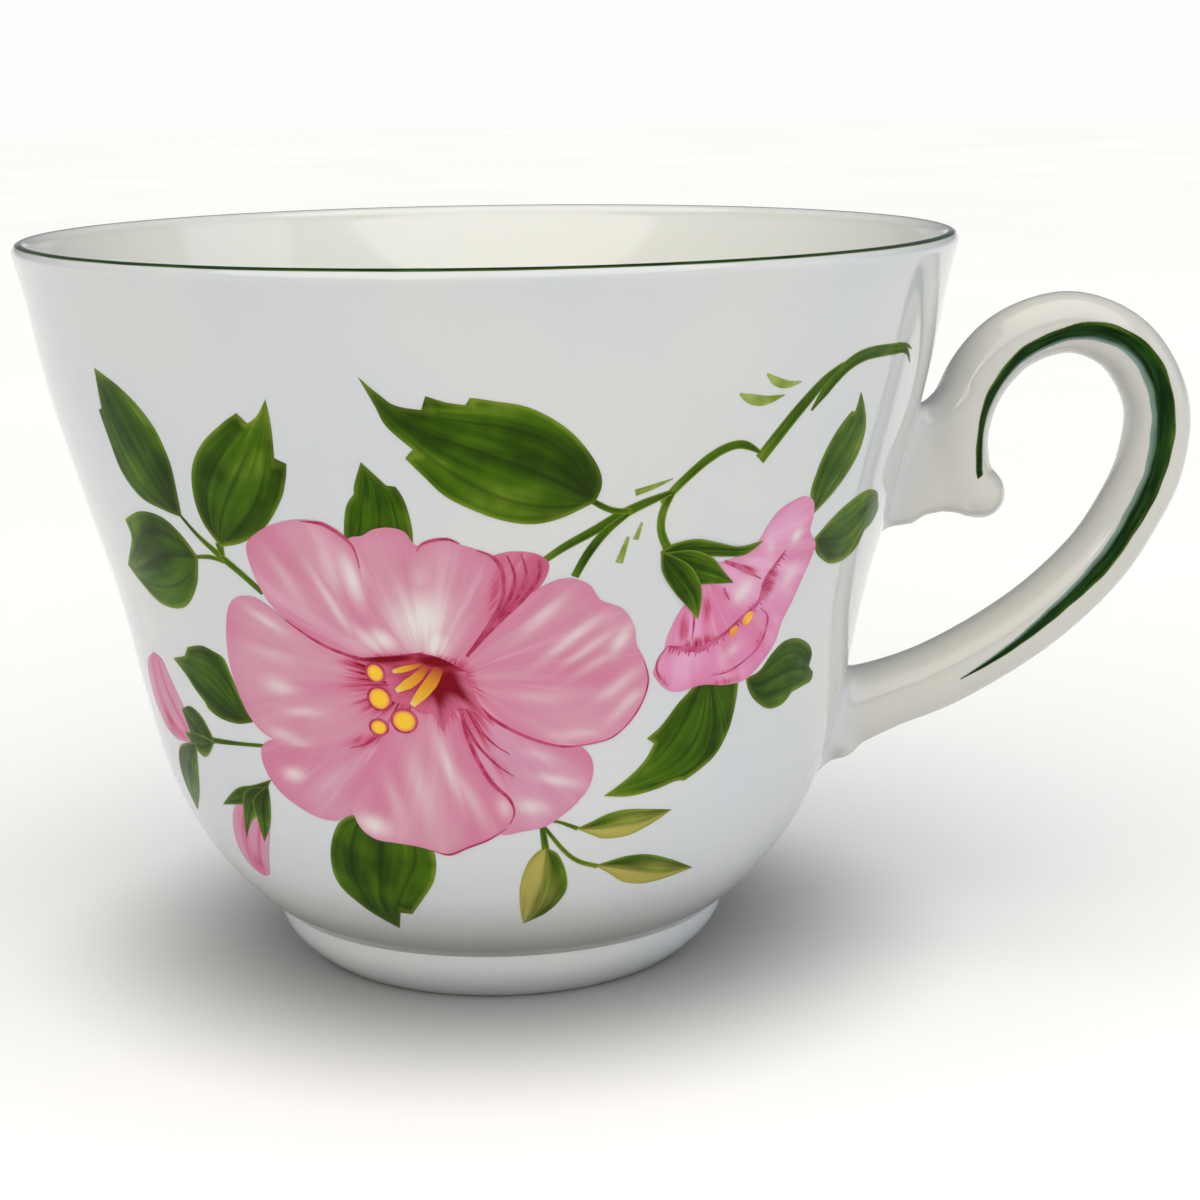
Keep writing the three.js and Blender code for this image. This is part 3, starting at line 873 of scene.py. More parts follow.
def blob(centre, half_width, half_height, tilt, columns=40):
    """Grid of a filled oval, sized in millimetres and tilted in degrees."""
    angles = np.linspace(0, 2 * math.pi, columns)
    x, z = half_width * np.cos(angles), half_height * np.sin(angles)
    turned = math.radians(tilt)
    x, z = x * math.cos(turned) - z * math.sin(turned), x * math.sin(turned) + z * math.cos(turned)
    turn_scale, height_scale = millimetres(np.array(centre, float))
    rim = np.stack([centre[0] + x / turn_scale, centre[1] + z / height_scale], axis=1)
    out = np.linspace(0.02, 1, 9)[:, None]
    places = np.array(centre) + (rim[None] - np.array(centre)) * out[..., None]
    return places, out + 0 * angles, 0 * out + np.linspace(-1, 1, columns)


def depth_inside(places):
    """How many millimetres each place of a blade or stroke lies from its two long edges."""
    scale = [unit.mean() for unit in millimetres(places)]
    points = places * scale
    edges = points[:, [0, -1]].reshape(-1, 2)
    depth = np.full(places.shape[:2], 1e9)
    for x, y in edges:
        depth = np.minimum(depth, (points[..., 0] - x) ** 2 + (points[..., 1] - y) ** 2)
    return np.sqrt(depth)


def fringe(path, count, reach, width):
    """Short tapering hairs that leave one side of a path."""
    curve = evenly(smooth_curve(path), count + 2, WALL_UNITS)
    hairs = []
    for number, (start, ahead) in enumerate(zip(curve[1:], curve[2:])):
        travel = (ahead - start) * WALL_UNITS
        out = np.array([-travel[1] / WALL_UNITS[0], travel[0] / WALL_UNITS[1]]) / np.hypot(*travel)
        length = reach * (0.75 + 0.35 * math.sin(number * 2.4))
        hairs.append(([start, start + out * length / 2, start + out * length], [width, width * 0.8, 0.05]))
    return hairs


def printed(name, grids, lift, material, slot="floral_enamel"):
    """One printed piece: thin closed slabs of enamel that follow the bowl, each a hair over the last."""
    vertices, faces = [], []
    columns = {"along": [], "across": [], "run": [], "side": [], "depth": [], "pale": [], "deep": []}
    for number, (places, along, across, *leaf_grain) in enumerate(grids):
        top = lift + PRINT_STEP * number / len(grids)
        slab_vertices, slab_faces = slab(on_bowl(places, top), on_bowl(places, PRINT_ROOT))
        start = sum(len(part) for part in vertices)
        vertices.append(slab_vertices)
        faces += [[corner + start for corner in face] for face in slab_faces]
        run, side = leaf_grain or (along, across)
        values = {
            "along": along, "across": across, "run": run, "side": side, "depth": depth_inside(places),
            "pale": marks(places, PALE_MARKS), "deep": marks(places, DEEP_MARKS),
        }
        for key, value in values.items():
            columns[key] += [value.ravel(), value.ravel()]
    attributes = {key: np.concatenate(value) for key, value in columns.items()}
    made = make_object(name, np.concatenate(vertices), faces, attributes)
    return finish_piece(made, material, slot)


LEAVES = {  # root to tip, left edge then right edge
    "leaf_left_narrow": (
        [(-42.5, 48.8), (-46.3, 49.3), (-50.2, 50.1), (-52.9, 52.2), (-53.6, 55.1), (-54.1, 57.7),
         (-54.1, 57.7),
         (-53.3, 57.7), (-53.3, 57.7), (-52.7, 61.5)],
        [(-42.5, 48.8), (-42.1, 51.2), (-41.9, 53.7), (-42.9, 56.5), (-45.2, 58.6), (-48.4, 60.2),
         (-52.7, 61.5)],
    ),
    "leaf_left_broad": (
        [(-36.8, 46.5), (-38.8, 48.6), (-39.2, 51), (-38.2, 53.6), (-35.8, 55.8), (-32.3, 57.7),
         (-29.8, 58.8),
         (-29.8, 58.8), (-28.9, 57.8), (-28.9, 57.8), (-27.2, 58.6), (-25.7, 60.1)],
        [(-36.8, 46.5), (-32.8, 47.2), (-28.8, 48.9), (-26, 51.3), (-24.9, 53), (-24.3, 54.6), (-24.3, 54.6),
         (-25.9, 54.4),
         (-25.9, 54.4), (-25.6, 56.5), (-25.5, 58.3), (-25.7, 60.1)],
    ),
    "leaf_left_lobed": (
        [(-41.5, 45.2), (-43.6, 47.1), (-46.8, 48.5), (-51.5, 48.6), (-56.4, 47.4), (-56.4, 47.4),
         (-56.3, 45.6), (-61, 42.6)],
        [(-41.5, 45.2), (-43.2, 42.6), (-46.4, 40.4), (-49.9, 39.6), (-54.4, 39.8), (-58.4, 41.3),
         (-61, 42.6)],
    ),
    "leaf_above_flower": (
        [(-18.3, 46.8), (-18.3, 48.8), (-17.6, 51), (-16.4, 52.2), (-16.4, 52.2), (-16.2, 53), (-15.1, 55)],
        [(-10, 46.8), (-9.8, 49.2), (-10.4, 51.6), (-11.3, 52.9), (-11.3, 52.9), (-12.4, 53), (-12.4, 53),
         (-15.1, 55)],
    ),
    "leaf_top_large": (
        [(11.9, 51.2), (12.6, 52.7), (11.8, 54.6), (8.6, 57.5), (4.3, 59.5), (0.1, 60.2), (-2.4, 60.5),
         (-2.4, 60.5),
         (-1.9, 59.8), (-1.9, 59.8), (-4.8, 60.1), (-7.3, 60.7), (-7.3, 60.7), (-6.4, 59.4), (-6.4, 59.4),
         (-10.3, 59.8),
         (-12.3, 60.8), (-14.4, 62.2)],
        [(11.9, 51.2), (7.8, 49.9), (4.4, 49.5), (1, 49.9), (-2.3, 50.8), (-5.6, 52.1), (-7.9, 53.8),
         (-9.9, 55.4),
         (-9.9, 55.4), (-8.1, 55.6), (-8.1, 55.6), (-11.6, 58), (-12.8, 59.8), (-14.4, 62.2)],
    ),
    "leaf_right_long": (
        [(30.6, 35.6), (28.6, 33.2), (26.3, 31.7), (24, 29.9), (21.8, 28.8), (21.8, 28.8), (23.1, 28.3),
         (23.1, 28.3),
         (21.9, 26.8), (19.5, 25.3), (15.7, 23.7)],
        [(36.5, 35), (36.8, 32.8), (36.8, 30.7), (36.2, 28.3), (34.5, 26.2), (31.9, 25), (29.1, 24.1),
         (29.1, 24.1),
         (27.4, 24.2), (24, 23.7), (19.8, 23.4), (15.7, 23.7)],
    ),
    "leaf_right_lobed": (
        [(38.2, 33), (40.8, 33.4), (43, 34.8), (45.4, 35.7), (48.7, 35.6), (52.3, 34.5), (53.7, 33.3),
         (53, 32.5),
         (53, 32.5), (55.2, 31.5)],
        [(38.2, 33), (39.1, 31.8), (41, 30.5), (44.2, 29.4), (47.5, 29.4), (49.7, 30.3), (49.7, 30.3),
         (52.3, 30.5),
         (54.9, 30.7), (55.2, 31.5)],
    ),
    "leaf_by_handle_narrow": (
        [(45, 47.7), (43.5, 49.7), (43.7, 51.7), (44.6, 53.7), (46.2, 55.5), (48.1, 56.8), (48.1, 56.8),
         (48.9, 56.7), (49.3, 58.4)],
        [(45, 47.7), (48.1, 49.2), (50.5, 50.8), (52.2, 52.7), (52.4, 54.8), (51.1, 56.7), (49.3, 58.4)],
    ),
    "leaf_by_handle_oval": (
        [(46.5, 45.2), (48.8, 46.4), (51.5, 47.5), (54.9, 48.3), (57.8, 48.6), (60.3, 48.4), (62.4, 47.9),
         (63.5, 47.2)],
        [(46.5, 45.2), (48.4, 43.6), (52.4, 42.3), (56.7, 42.2), (60.1, 43), (61.4, 44.4), (61.4, 44.4),
         (63.9, 44.9),
         (65.2, 46), (63.5, 47.2)],
    ),
    "leaf_under_left": (
        [(-38.1, 29.9), (-39.2, 31.2), (-40.2, 32.6), (-41.1, 34.3), (-41.8, 35.6), (-43.7, 36.1),
         (-46.3, 36.4),
         (-49.8, 35.9), (-49.8, 35.9), (-51.2, 34.9), (-51.2, 34.9), (-54.8, 34.3)],
        [(-38.1, 29.9), (-41.6, 29.4), (-45.1, 29.5), (-47.8, 30.1), (-48.6, 30.8), (-50.4, 31.8),
         (-52.3, 33.1), (-54.8, 34.3)],
    ),
    "leaf_bottom": (
        [(-20, 22.5), (-24.6, 21.6), (-27.2, 19.8), (-29.2, 16.8), (-29.3, 14.1), (-26.2, 11.7),
         (-23.2, 10.3), (-20.7, 9.4)],
        [(-14, 22.5), (-11.2, 20), (-10.5, 17.8), (-11.3, 15.6), (-13.6, 13.6), (-16.8, 11.4), (-16.8, 11.4),
         (-18.6, 12),
         (-18.6, 12), (-20.7, 9.4)],
    ),
}
YOUNG_LEAVES = {
    "leaf_young_upper": (
        [(11.7, 20.7), (13.8, 21.2), (16.7, 21.9), (19.7, 22.1), (23.6, 21.8), (27.5, 21.4)],
        [(11.7, 20.7), (14, 20), (16.4, 19.4), (20.2, 19.4), (23.2, 20), (25.9, 20.8), (27.5, 21.4)],
    ),
    "leaf_young_lower": (
        [(15.4, 16.6), (17.8, 16.9), (20.9, 17.2), (24.8, 17), (29.2, 16.1), (35.4, 14.4)],
        [(15.4, 16.6), (18.1, 15.6), (21.1, 14.4), (24.9, 13.8), (28.5, 13.8), (32.3, 14.1), (35.4, 14.4)],
    ),
    "leaf_young_hanging": (
        [(7, 19), (5.4, 18.4), (3.9, 17), (3, 14.7), (3.2, 12.2), (3.9, 10.4)],
        [(7, 19), (9, 18.2), (10.5, 16.4), (11.1, 14.4), (9.9, 12.8), (7.7, 11.5), (3.9, 10.4)],
    ),
}
PINK, ROSE = linear(195, 122, 147), linear(178, 74, 106)
SOFT_PINK, LILAC = linear(199, 143, 161), linear(196, 141, 165)
# Lift, main colour, light colour, how far the crimson reaches, source of the strokes, centre, edge
PETALS = {
    "petal_back_fold": (0.05, ROSE, linear(200, 112, 140), 0.0, (-4.8, 36.6), (1.5, 43.5), [
        (-3.2, 38.6), (-1.2, 42), (-0.4, 44.8), (-0.6, 46.5), (1, 47), (2.8, 47.1), (5.1, 46.8), (6.6, 45.9),
        (5.9, 44.2),
        (3.2, 42.4), (-0.3, 40), (-3.6, 37.2)]),
    "petal_top": (0.055, PINK, SOFT_PINK, 0.0, (-9.5, 35), (-12.6, 41.8), [
        (-15.3, 37.5), (-18.5, 40.1), (-19.6, 42.9), (-19.6, 45.7), (-18, 48.1), (-16.1, 48.5), (-14.6, 49.1),
        (-12.5, 49.3),
        (-10.7, 48.9), (-9.5, 47.7), (-7.4, 48.2), (-5.6, 48.2), (-4.2, 47.8), (-1.8, 47.2), (0.2, 46.1),
        (1, 44.2),
        (0.1, 41.7), (-2, 39.4), (-5, 36.6)]),
    "petal_upper_left": (0.065, PINK, SOFT_PINK, 0.0, (-12.4, 35.4), (-26, 44), [
        (-14.4, 37.3), (-17.9, 37.1), (-22.6, 38), (-26, 39.1), (-28.6, 40.2), (-31.1, 42), (-32.4, 44.5),
        (-32.4, 47),
        (-29.7, 48.5), (-26.8, 49.3), (-23.8, 49.7), (-21, 49.5), (-18.8, 48.5), (-17.4, 47.4), (-16.9, 45.5),
        (-16.6, 42.9), (-15.5, 40.4), (-13.4, 38)]),
    "petal_lower_right": (0.06, PINK, LILAC, 0.4, (-6.6, 35.6), (3.8, 24.6), [
        (-2.3, 34.2), (1.1, 31.8), (5.4, 30.2), (9.8, 29.4), (12.7, 28.2), (13.8, 26.6), (13.3, 24.8),
        (11.8, 23.5), (10.1, 22.5),
        (6.9, 21.2), (3.6, 20.8), (-0.5, 20.7), (-1.5, 24), (-4.2, 29.7), (-5.6, 34.5)]),
    "petal_lower_left": (0.065, PINK, LILAC, 0.3, (-13.8, 32.6), (-17.6, 26.8), [
        (-13.8, 32.6), (-18.4, 30.1), (-22.3, 29.6), (-27.4, 29.3), (-32.8, 28.9), (-36.8, 28), (-38, 26.7),
        (-37.5, 24.9), (-35.6, 23.3),
        (-32.8, 22.2), (-29.7, 21.4), (-26.4, 21.2), (-23, 22), (-19, 21), (-15.1, 23.2), (-12.6, 27.2)]),
    "petal_bottom": (0.075, PINK, SOFT_PINK, 0.3, (-8.2, 36), (-12.6, 23.6), [
        (-8.2, 36), (-4.8, 34.8), (-5, 31.5), (-3.8, 28.9), (-1.1, 26), (1.3, 24.1), (2.1, 22.7), (0.9, 21.1),
        (-2, 19.9), (-5, 19.3),
        (-8.2, 18.4), (-10.8, 18.9), (-13.7, 19.3), (-16.6, 19.5), (-19.6, 19.7), (-21.7, 20.5),
        (-22.7, 21.8),
        (-22.6, 23.3), (-19.9, 26.8), (-15.8, 30.6), (-13.5, 34.8)]),
    "petal_left": (0.08, PINK, SOFT_PINK, 0.42, (-12, 34.9), (-27, 32.4), [
        (-12, 34.9), (-11.6, 37.2), (-17.9, 37), (-22.7, 37.8), (-26, 38.9), (-28.7, 40.1), (-31.1, 41.4),
        (-33.4, 42.1), (-36.1, 41.9),
        (-38.2, 40.8), (-39.8, 38.5), (-40.6, 36.1), (-40.5, 33.8), (-39.4, 31.3), (-37.6, 29.5),
        (-34.9, 28.6),
        (-30.1, 28.2), (-24.3, 28.6), (-19.8, 29.5), (-16, 30.8), (-12.4, 32.2)]),
    "petal_right": (0.085, PINK, SOFT_PINK, 0.14, (-6, 35.8), (7.2, 36), [
        (-5.8, 37.2), (-4, 38.3), (-0.3, 40.3), (3.2, 42.7), (6.3, 44), (9, 44.5), (11.8, 43.8), (13.5, 42.3),
        (16.6, 41.3),
        (18.4, 39.6), (19, 37.9), (20.4, 36.3), (21.2, 34.5), (20.7, 32.4), (18.8, 30.5), (16.1, 29.3),
        (12.5, 28.8),
        (8.9, 28.9), (4.5, 29.8), (0.2, 31.3), (-2.2, 32.7), (-4.6, 34.2)]),
}
ROSE_LINES = [  # path and widths
    ([(-23.8, 49.6), (-21, 49.4), (-18.8, 48.5), (-17.4, 47.4), (-16.9, 45.6)], [0.05, 0.32, 0.3, 0.2, 0.04]),
    ([(-28.9, 40.3), (-26, 39), (-22.7, 37.9), (-18, 37.1), (-14.2, 37.4), (-9.8, 37.9)],
     [0.05, 0.25, 0.28, 0.3, 0.34, 0.1]),
    ([(-5, 36.4), (-3.9, 34.2), (-2.2, 32.6), (0.2, 31.3), (4.5, 29.8), (8.9, 28.9), (12.5, 28.9)],
     [0.5, 0.42, 0.36, 0.3, 0.26, 0.22, 0.08]),
    ([(12.5, 28.9), (16.1, 29.3), (18.7, 30.6), (20.6, 32.5), (21.2, 34.5), (20.3, 36.3)],
     [0.06, 0.12, 0.12, 0.14, 0.18, 0.04]),
    ([(-5.2, 34.3), (-4.9, 31.5), (-3.8, 28.9), (-1.3, 25.8), (1.3, 24.1), (2.1, 22.7), (1.4, 21.6)],
     [0.4, 0.32, 0.28, 0.36, 0.38, 0.26, 0.06]),
    ([(-4.4, 31.2), (-3.0, 29.3), (-0.4, 27.4), (2.2, 26.2)], [0.1, 0.26, 0.2, 0.04]),
    ([(-4.2, 32.6), (-2.4, 30.6), (-0.4, 29.2), (1.5, 28.4)], [0.1, 0.24, 0.16, 0.04]),
    ([(0.8, 21.1), (-2.1, 20), (-5, 19.3), (-8.2, 18.5), (-10.8, 18.9)], [0.04, 0.16, 0.2, 0.22, 0.04]),
    ([(-9.5, 47.2), (-8.9, 47.8), (-7.4, 48.2), (-5.6, 48.3), (-4.2, 47.9)], [0.05, 0.22, 0.24, 0.18, 0.04]),
    ([(-2.2, 47.3), (-0.2, 46.6), (0.9, 45.2), (0.8, 42.9), (-1, 40.4), (-4, 37.6)],
     [0.08, 0.34, 0.3, 0.3, 0.36, 0.3]),
    ([(1.4, 46.8), (2.4, 44.8), (1.4, 42.4), (-1.4, 39.6)], [0.1, 0.3, 0.28, 0.1]),
    ([(3.1, 46.9), (3.8, 45), (2.6, 42.8), (-0.6, 40.2)], [0.1, 0.26, 0.24, 0.1]),
    ([(5.3, 46.4), (5.4, 44.8), (3.6, 42.9), (0, 40.5), (-3.4, 38)], [0.1, 0.34, 0.3, 0.3, 0.2]),
    ([(-21.8, 28.6), (-19, 29.2), (-16.4, 30.4)], [0.04, 0.2, 0.28]),
]
THROAT = ((-8, 35.5), (-8.5, 36.4), [
    (-4.2, 36.2), (-7.5, 37.4), (-10, 37.8), (-13, 37.6), (-16, 37.4), (-20, 37.1), (-20, 37.1),
    (-16.6, 36.5), (-15.2, 35),
    (-14.8, 33.4), (-12.6, 33), (-10.6, 32.2), (-9, 32.2), (-7.9, 30.6), (-7.9, 30.6), (-7, 31.6), (-6, 32.6),
    (-4.4, 32.7),
    (-2.6, 32.1), (-0.6, 31.1), (-0.6, 31.1), (-2.4, 33), (-3.5, 34.6)])
FILAMENTS = [
    ([(-7.8, 36.5), (-9.2, 35), (-11.9, 33)], [0.8, 1.15, 1.05, 0.5]),
    ([(-9.4, 36.7), (-11.3, 35.4), (-14, 34.3)], [0.4, 0.85, 0.95, 0.4]),
    ([(-9.9, 36.9), (-11.8, 36.5), (-14.2, 36.1)], [0.15, 0.45, 0.6, 0.3]),
]
ANTHERS = [
    ((-16.7, 35.9), 0.72, 0.82, 15), ((-16.5, 33.5), 0.92, 1.0, 15), ((-13.2, 31.5), 1.02, 1.0, 0),
    ((-17, 30.8), 0.72, 0.66, 0),
]
STEMS = [  # path, widths
    ([(61.5, 60.1), (60.2, 61), (58.4, 61.55), (55.6, 61.75), (49.5, 61.8), (46, 61.2), (43.4, 60),
      (41.6, 58.7), (40.2, 57.5)],
     [0.15, 0.7, 1.05, 1.1, 1.15, 1.2, 1.2, 1.1, 0.25]),
    ([(61.3, 61.3), (59.4, 61.75), (56.4, 61.95)], [0.1, 0.5, 0.7]),
    ([(44.6, 61.3), (42.4, 60.4), (40.4, 59.3), (37.5, 57.3), (34.9, 55.2), (33.2, 53.7)],
     [0.3, 0.9, 1.15, 1.25, 1.3, 1.25]),
    ([(33.2, 54.3), (30.5, 55.2), (28.1, 55.1), (25.6, 54.2), (23.2, 52.8), (21.5, 51.6), (20.5, 50.6)],
     [0.3, 0.75, 0.85, 0.9, 0.85, 0.8, 0.7]),
    ([(21.5, 51.6), (20.6, 49.9), (20.7, 48.1), (22.2, 46.1)], [0.7, 0.75, 0.75, 0.9]),
    ([(21.4, 51.6), (18.1, 50.8), (15.2, 49.9), (12.1, 48.7), (8.6, 47.4), (6, 46.2)],
     [0.5, 0.85, 0.95, 0.85, 0.75, 0.6]),
    ([(16.6, 50.2), (13.6, 48.6), (11.4, 46.6), (9.9, 44.6)], [0.4, 0.75, 0.8, 0.7]),
    ([(11.6, 51.3), (14, 50.4), (16.6, 50.2)], [0.5, 0.55, 0.5]),
    ([(-42.6, 48.9), (-40.4, 47.3), (-37.2, 45.6), (-34.6, 44.3), (-31.6, 42.6)], [0.3, 0.5, 0.75, 0.7, 0.6]),
    ([(-41.8, 45.2), (-39, 45.4), (-36.7, 45.1)], [0.35, 0.45, 0.4]),
    ([(-36.9, 46.8), (-36.9, 45.6)], [0.9, 0.6]),
    ([(-49, 27), (-43.6, 27.3), (-37, 27.7)], [0.6, 0.4, 0.35]),
    ([(6.2, 21.4), (8.4, 21.6), (11.9, 20.7)], [0.25, 0.3, 0.45]),
    ([(6.3, 21.4), (9.7, 18.7), (12.4, 17.3), (15.9, 16.5)], [0.3, 0.4, 0.45, 0.5]),
    ([(6.2, 21.6), (7, 18.8)], [0.45, 0.7]),
]
TENDRILS = [
    ([(37.8, 60.2), (35.6, 60.1), (33.8, 60.5), (32.4, 61.2)], [0.08, 0.5, 0.8, 0.75, 0.2]),
    ([(35.4, 59.2), (32.6, 58.9), (30.4, 59.2), (28.9, 59.7)], [0.08, 0.6, 0.95, 0.9, 0.2]),
    ([(21.4, 52.8), (18.9, 52.2), (16.8, 51.8)], [0.08, 0.45, 0.6]),
    ([(18, 49.1), (17.4, 47.6)], [0.2, 0.5]),
    ([(16.4, 47.9), (15.5, 45.6)], [0.25, 0.7]),
]
SIDE_FLOWER = ((26, 45.4), (36.6, 38.6), [
    (27.9, 44.7), (31.4, 44.8), (34.3, 45.6), (35.8, 46.3), (36.6, 47.4), (38.2, 48.7), (40.6, 49.4),
    (42.6, 49.6), (44.5, 48.9),
    (45.2, 47.5), (45.2, 46.2), (47.2, 44.7), (46.9, 43.1), (46.1, 41.6), (45.1, 39.6), (43.8, 37.8),
    (43.1, 35.8),
    (40.6, 34), (38, 32.9), (34.2, 32.8), (30.1, 33.2), (26.5, 32.9), (24.4, 33.2), (22.7, 34.2),
    (21.9, 35.2), (23.1, 36.6),
    (23.5, 38.3), (24.6, 40.2), (25.8, 41.6), (27.9, 44.7)])
SIDE_FLOWER_LIP = [(41, 44.8), (39.4, 43.4), (38.3, 42), (38.3, 40.8), (37.2, 39.8), (35, 38.9), (33.2, 38),
                   (30.9, 37.2),
                   (28.9, 36.7), (26.1, 37), (23.7, 37.4)]
SIDE_FLOWER_LINES = [
    ([(30.6, 44.7), (32.8, 44.1), (35.4, 43.2), (37.4, 42.5)], [0.3, 0.5, 0.25, 0.1]),
    ([(38.6, 39.6), (40.4, 38.6), (40.4, 36.9), (39.1, 35.5), (34.8, 34.1), (31.4, 34)],
     [0.08, 0.22, 0.2, 0.14, 0.16, 0.04]),
    ([(23.7, 37.4), (22.4, 36.1), (22.6, 34.9), (24.4, 33.6)], [0.06, 0.16, 0.2, 0.06]),
    ([(31.2, 42.2), (32.5, 41)], [0.16, 0.08]),
    ([(26.2, 41.9), (27.2, 39.8), (27.4, 37.7)], [0.08, 0.26, 0.08]),
]
SIDE_FLOWER_LIP_WIDTHS = [0.12, 0.4, 0.5, 0.45, 0.4, 0.3, 0.3, 0.45, 0.6, 0.4, 0.1]
CALYX = [  # three sepals, root to tip, upper edge then lower edge
    ([(20.9, 46.2), (22.6, 46.9), (25.9, 47.1), (29.3, 46.5), (32.6, 45.9), (36.3, 46.1)],
     [(20.9, 46.2), (24.6, 45.2), (27.7, 45.4), (30.4, 45.2), (33.7, 45.1), (36.3, 46.1)]),
    ([(21.2, 46.2), (25.2, 46.2), (28.4, 45.3), (30.4, 44), (32.6, 42.6)],
     [(21.2, 46.2), (22.6, 44.4), (25.4, 43.1), (29.2, 42.8), (32.6, 42.6)]),
    ([(21, 46.4), (24.9, 45), (27.1, 43.2), (27.9, 41.4), (27.8, 39.6)],
     [(21, 46.4), (21.5, 44.4), (23.5, 42.5), (25.7, 41), (27.8, 39.6)]),
]
LEFT_BUD = (
    [(-56, 25.9), (-61.5, 25.6), (-65.6, 26.4), (-67.8, 28.5), (-67.6, 30.9), (-65.9, 32.7), (-62, 34)],
    [(-56, 25.9), (-54.4, 27.7), (-55.5, 29.6), (-56.7, 31), (-58, 32.4), (-59.2, 33.7), (-62, 34)],
)
LEFT_BUD_GREEN = [
    ([(-48.4, 26.9), (-50.2, 29), (-53.1, 29.8), (-56, 29.2)], [(-48.4, 26.9), (-51.4, 25.4), (-54.4, 26.2),
                                                                (-56, 29.2)]),
    ([(-48.4, 26.9), (-52.5, 27.2), (-57.2, 26.8)], [(-48.4, 26.9), (-52.6, 24.9), (-57.2, 26.8)]),
    ([(-54, 26.2), (-60.5, 25), (-63.6, 22.8), (-64.4, 20.6), (-64, 18)], [(-54, 26.2), (-55.6, 23.9),
                                                                           (-57.6, 21.5), (-60, 19.8),
                                                                           (-64, 18)]),
]
SMALL_BUD = (
    [(-43, 22.4), (-46.4, 21.2), (-49.3, 19.4), (-51.6, 16.9), (-52.4, 15), (-51.6, 13.6), (-49.2, 12.9)],
    [(-39.6, 22.2), (-39.8, 20.4), (-41, 18.4), (-43, 16.4), (-45, 14.6), (-46.9, 13.3), (-49.2, 12.9)],
)
SMALL_BUD_GREEN = [
    ([(-37, 24.4), (-41.4, 23.4), (-45.6, 22.6), (-51.2, 20.3)], [(-37, 24.4), (-41.5, 21.4), (-45.6, 21),
                                                                  (-51.2, 20.3)]),
    ([(-38.6, 23.6), (-43.6, 22.6), (-45.8, 20), (-47.8, 17.2)], [(-38.6, 23.6), (-41.4, 20.8), (-44.4, 19.3),
                                                                  (-47.8, 17.2)]),
    ([(-38, 23.8), (-42.2, 21.9), (-42.6, 19.8), (-43, 17.4)], [(-38, 23.8), (-38.6, 21.5), (-40.3, 19.2),
                                                                (-43, 17.4)]),
]


def build_spray():
    """Prints the spray. A piece that lies over another is lifted further off the bowl."""
    stem = leaf_green("stem_green", 31.0, 0.3)
    deep_leaf = [leaf_green("leaf_green_%d" % i, 3.7 * i) for i in range(4)]
    young = leaf_green("leaf_young", 17.0, 0.5, 0.85)
    sepal_green = leaf_green("sepal_green", 12.0, 0.4)
    rose = plain_enamel("rose_line", linear(160, 44, 82), linear(182, 74, 108), 900.0)
    yellow = tinted_along(
        "filament_yellow",
        (0, (156, 60, 36)), (0.35, (202, 132, 40)), (0.8, (214, 168, 52)), (1, (220, 186, 104)),
    )
    pollen = tinted_along(
        "anther_yellow",
        (0, (232, 190, 50)), (0.6, (232, 186, 56)), (0.85, (224, 160, 64)), (1, (196, 104, 70)),
    )
    orange = plain_enamel("stamen_orange", linear(222, 140, 60), linear(238, 178, 80), 700.0)
    tendril = plain_enamel("tendril_green", linear(112, 136, 50), linear(150, 166, 84), 500.0)
    bud_pink = petal_pink("bud_pink", 8.8, linear(200, 96, 132), LILAC, 0.0)

    stems = printed("flower_stems", strokes(STEMS), STEM_LIFT, stem)
    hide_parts("floral_transfer")
    printed("tendrils", strokes(TENDRILS), STEM_LIFT, tendril)
    for number, (name, (left, right)) in enumerate(LEAVES.items()):
        printed(name, [blade(left, right, 110, 21)], LEAF_LIFT, deep_leaf[number % 4])
    for name, (left, right) in YOUNG_LEAVES.items():
        printed(name, [blade(left, right)], LEAF_LIFT, young)
    for number, (name, (lift, main, light, heart, *shape)) in enumerate(PETALS.items()):
        printed(name, [fan(*shape)], lift, petal_pink(name, 1.9 * number, main, light, heart))
    printed("petal_lines", strokes(ROSE_LINES), 0.095, rose)
    printed("flower_throat", [fan(*THROAT)], 0.1, throat_crimson())
    printed("filaments", strokes(FILAMENTS), 0.11, yellow)
    ring = 0.2  # width of the rose line round an anther
    rings = [blob(centre, wide + ring, tall + ring, tilt) for centre, wide, tall, tilt in ANTHERS]
    printed("anther_outlines", rings, 0.115, rose)
    printed("anthers", [blob(*anther) for anther in ANTHERS], 0.125, pollen)

    pink = petal_pink("side_flower_pink", 21.0, linear(206, 120, 158), linear(214, 156, 188), 0.0)
    printed("side_flower_petals", [fan(*SIDE_FLOWER)], FLOWER_LIFT, pink)
    hairs = fringe(SIDE_FLOWER_LIP, 44, 0.7, 0.17)
    lines = SIDE_FLOWER_LINES + [(SIDE_FLOWER_LIP, SIDE_FLOWER_LIP_WIDTHS)] + hairs
    soft_rose = plain_enamel("soft_rose_line", linear(172, 58, 98), linear(192, 98, 138), 900.0)
    printed("side_flower_lines", strokes(lines), 0.085, soft_rose)
    stamens = [blob((36.4, 38.9), 0.5, 0.7, -30), blob((34.2, 37.9), 0.42, 0.55, -30)]
    printed("side_flower_stamens", stamens, 0.12, orange)
    printed("side_flower_calyx", [blade(*sepal) for sepal in CALYX], 0.12, sepal_green)

    buds = {"left_bud": (LEFT_BUD, LEFT_BUD_GREEN), "small_bud": (SMALL_BUD, SMALL_BUD_GREEN)}
    for name, (bud, green) in buds.items():
        printed(name, [blade(*bud)], FLOWER_LIFT, bud_pink)
        printed(name + "_calyx", [blade(*part) for part in green], BUD_CALYX_LIFT, sepal_green)


# ---------------------------------------------------------------- floor, lights and camera

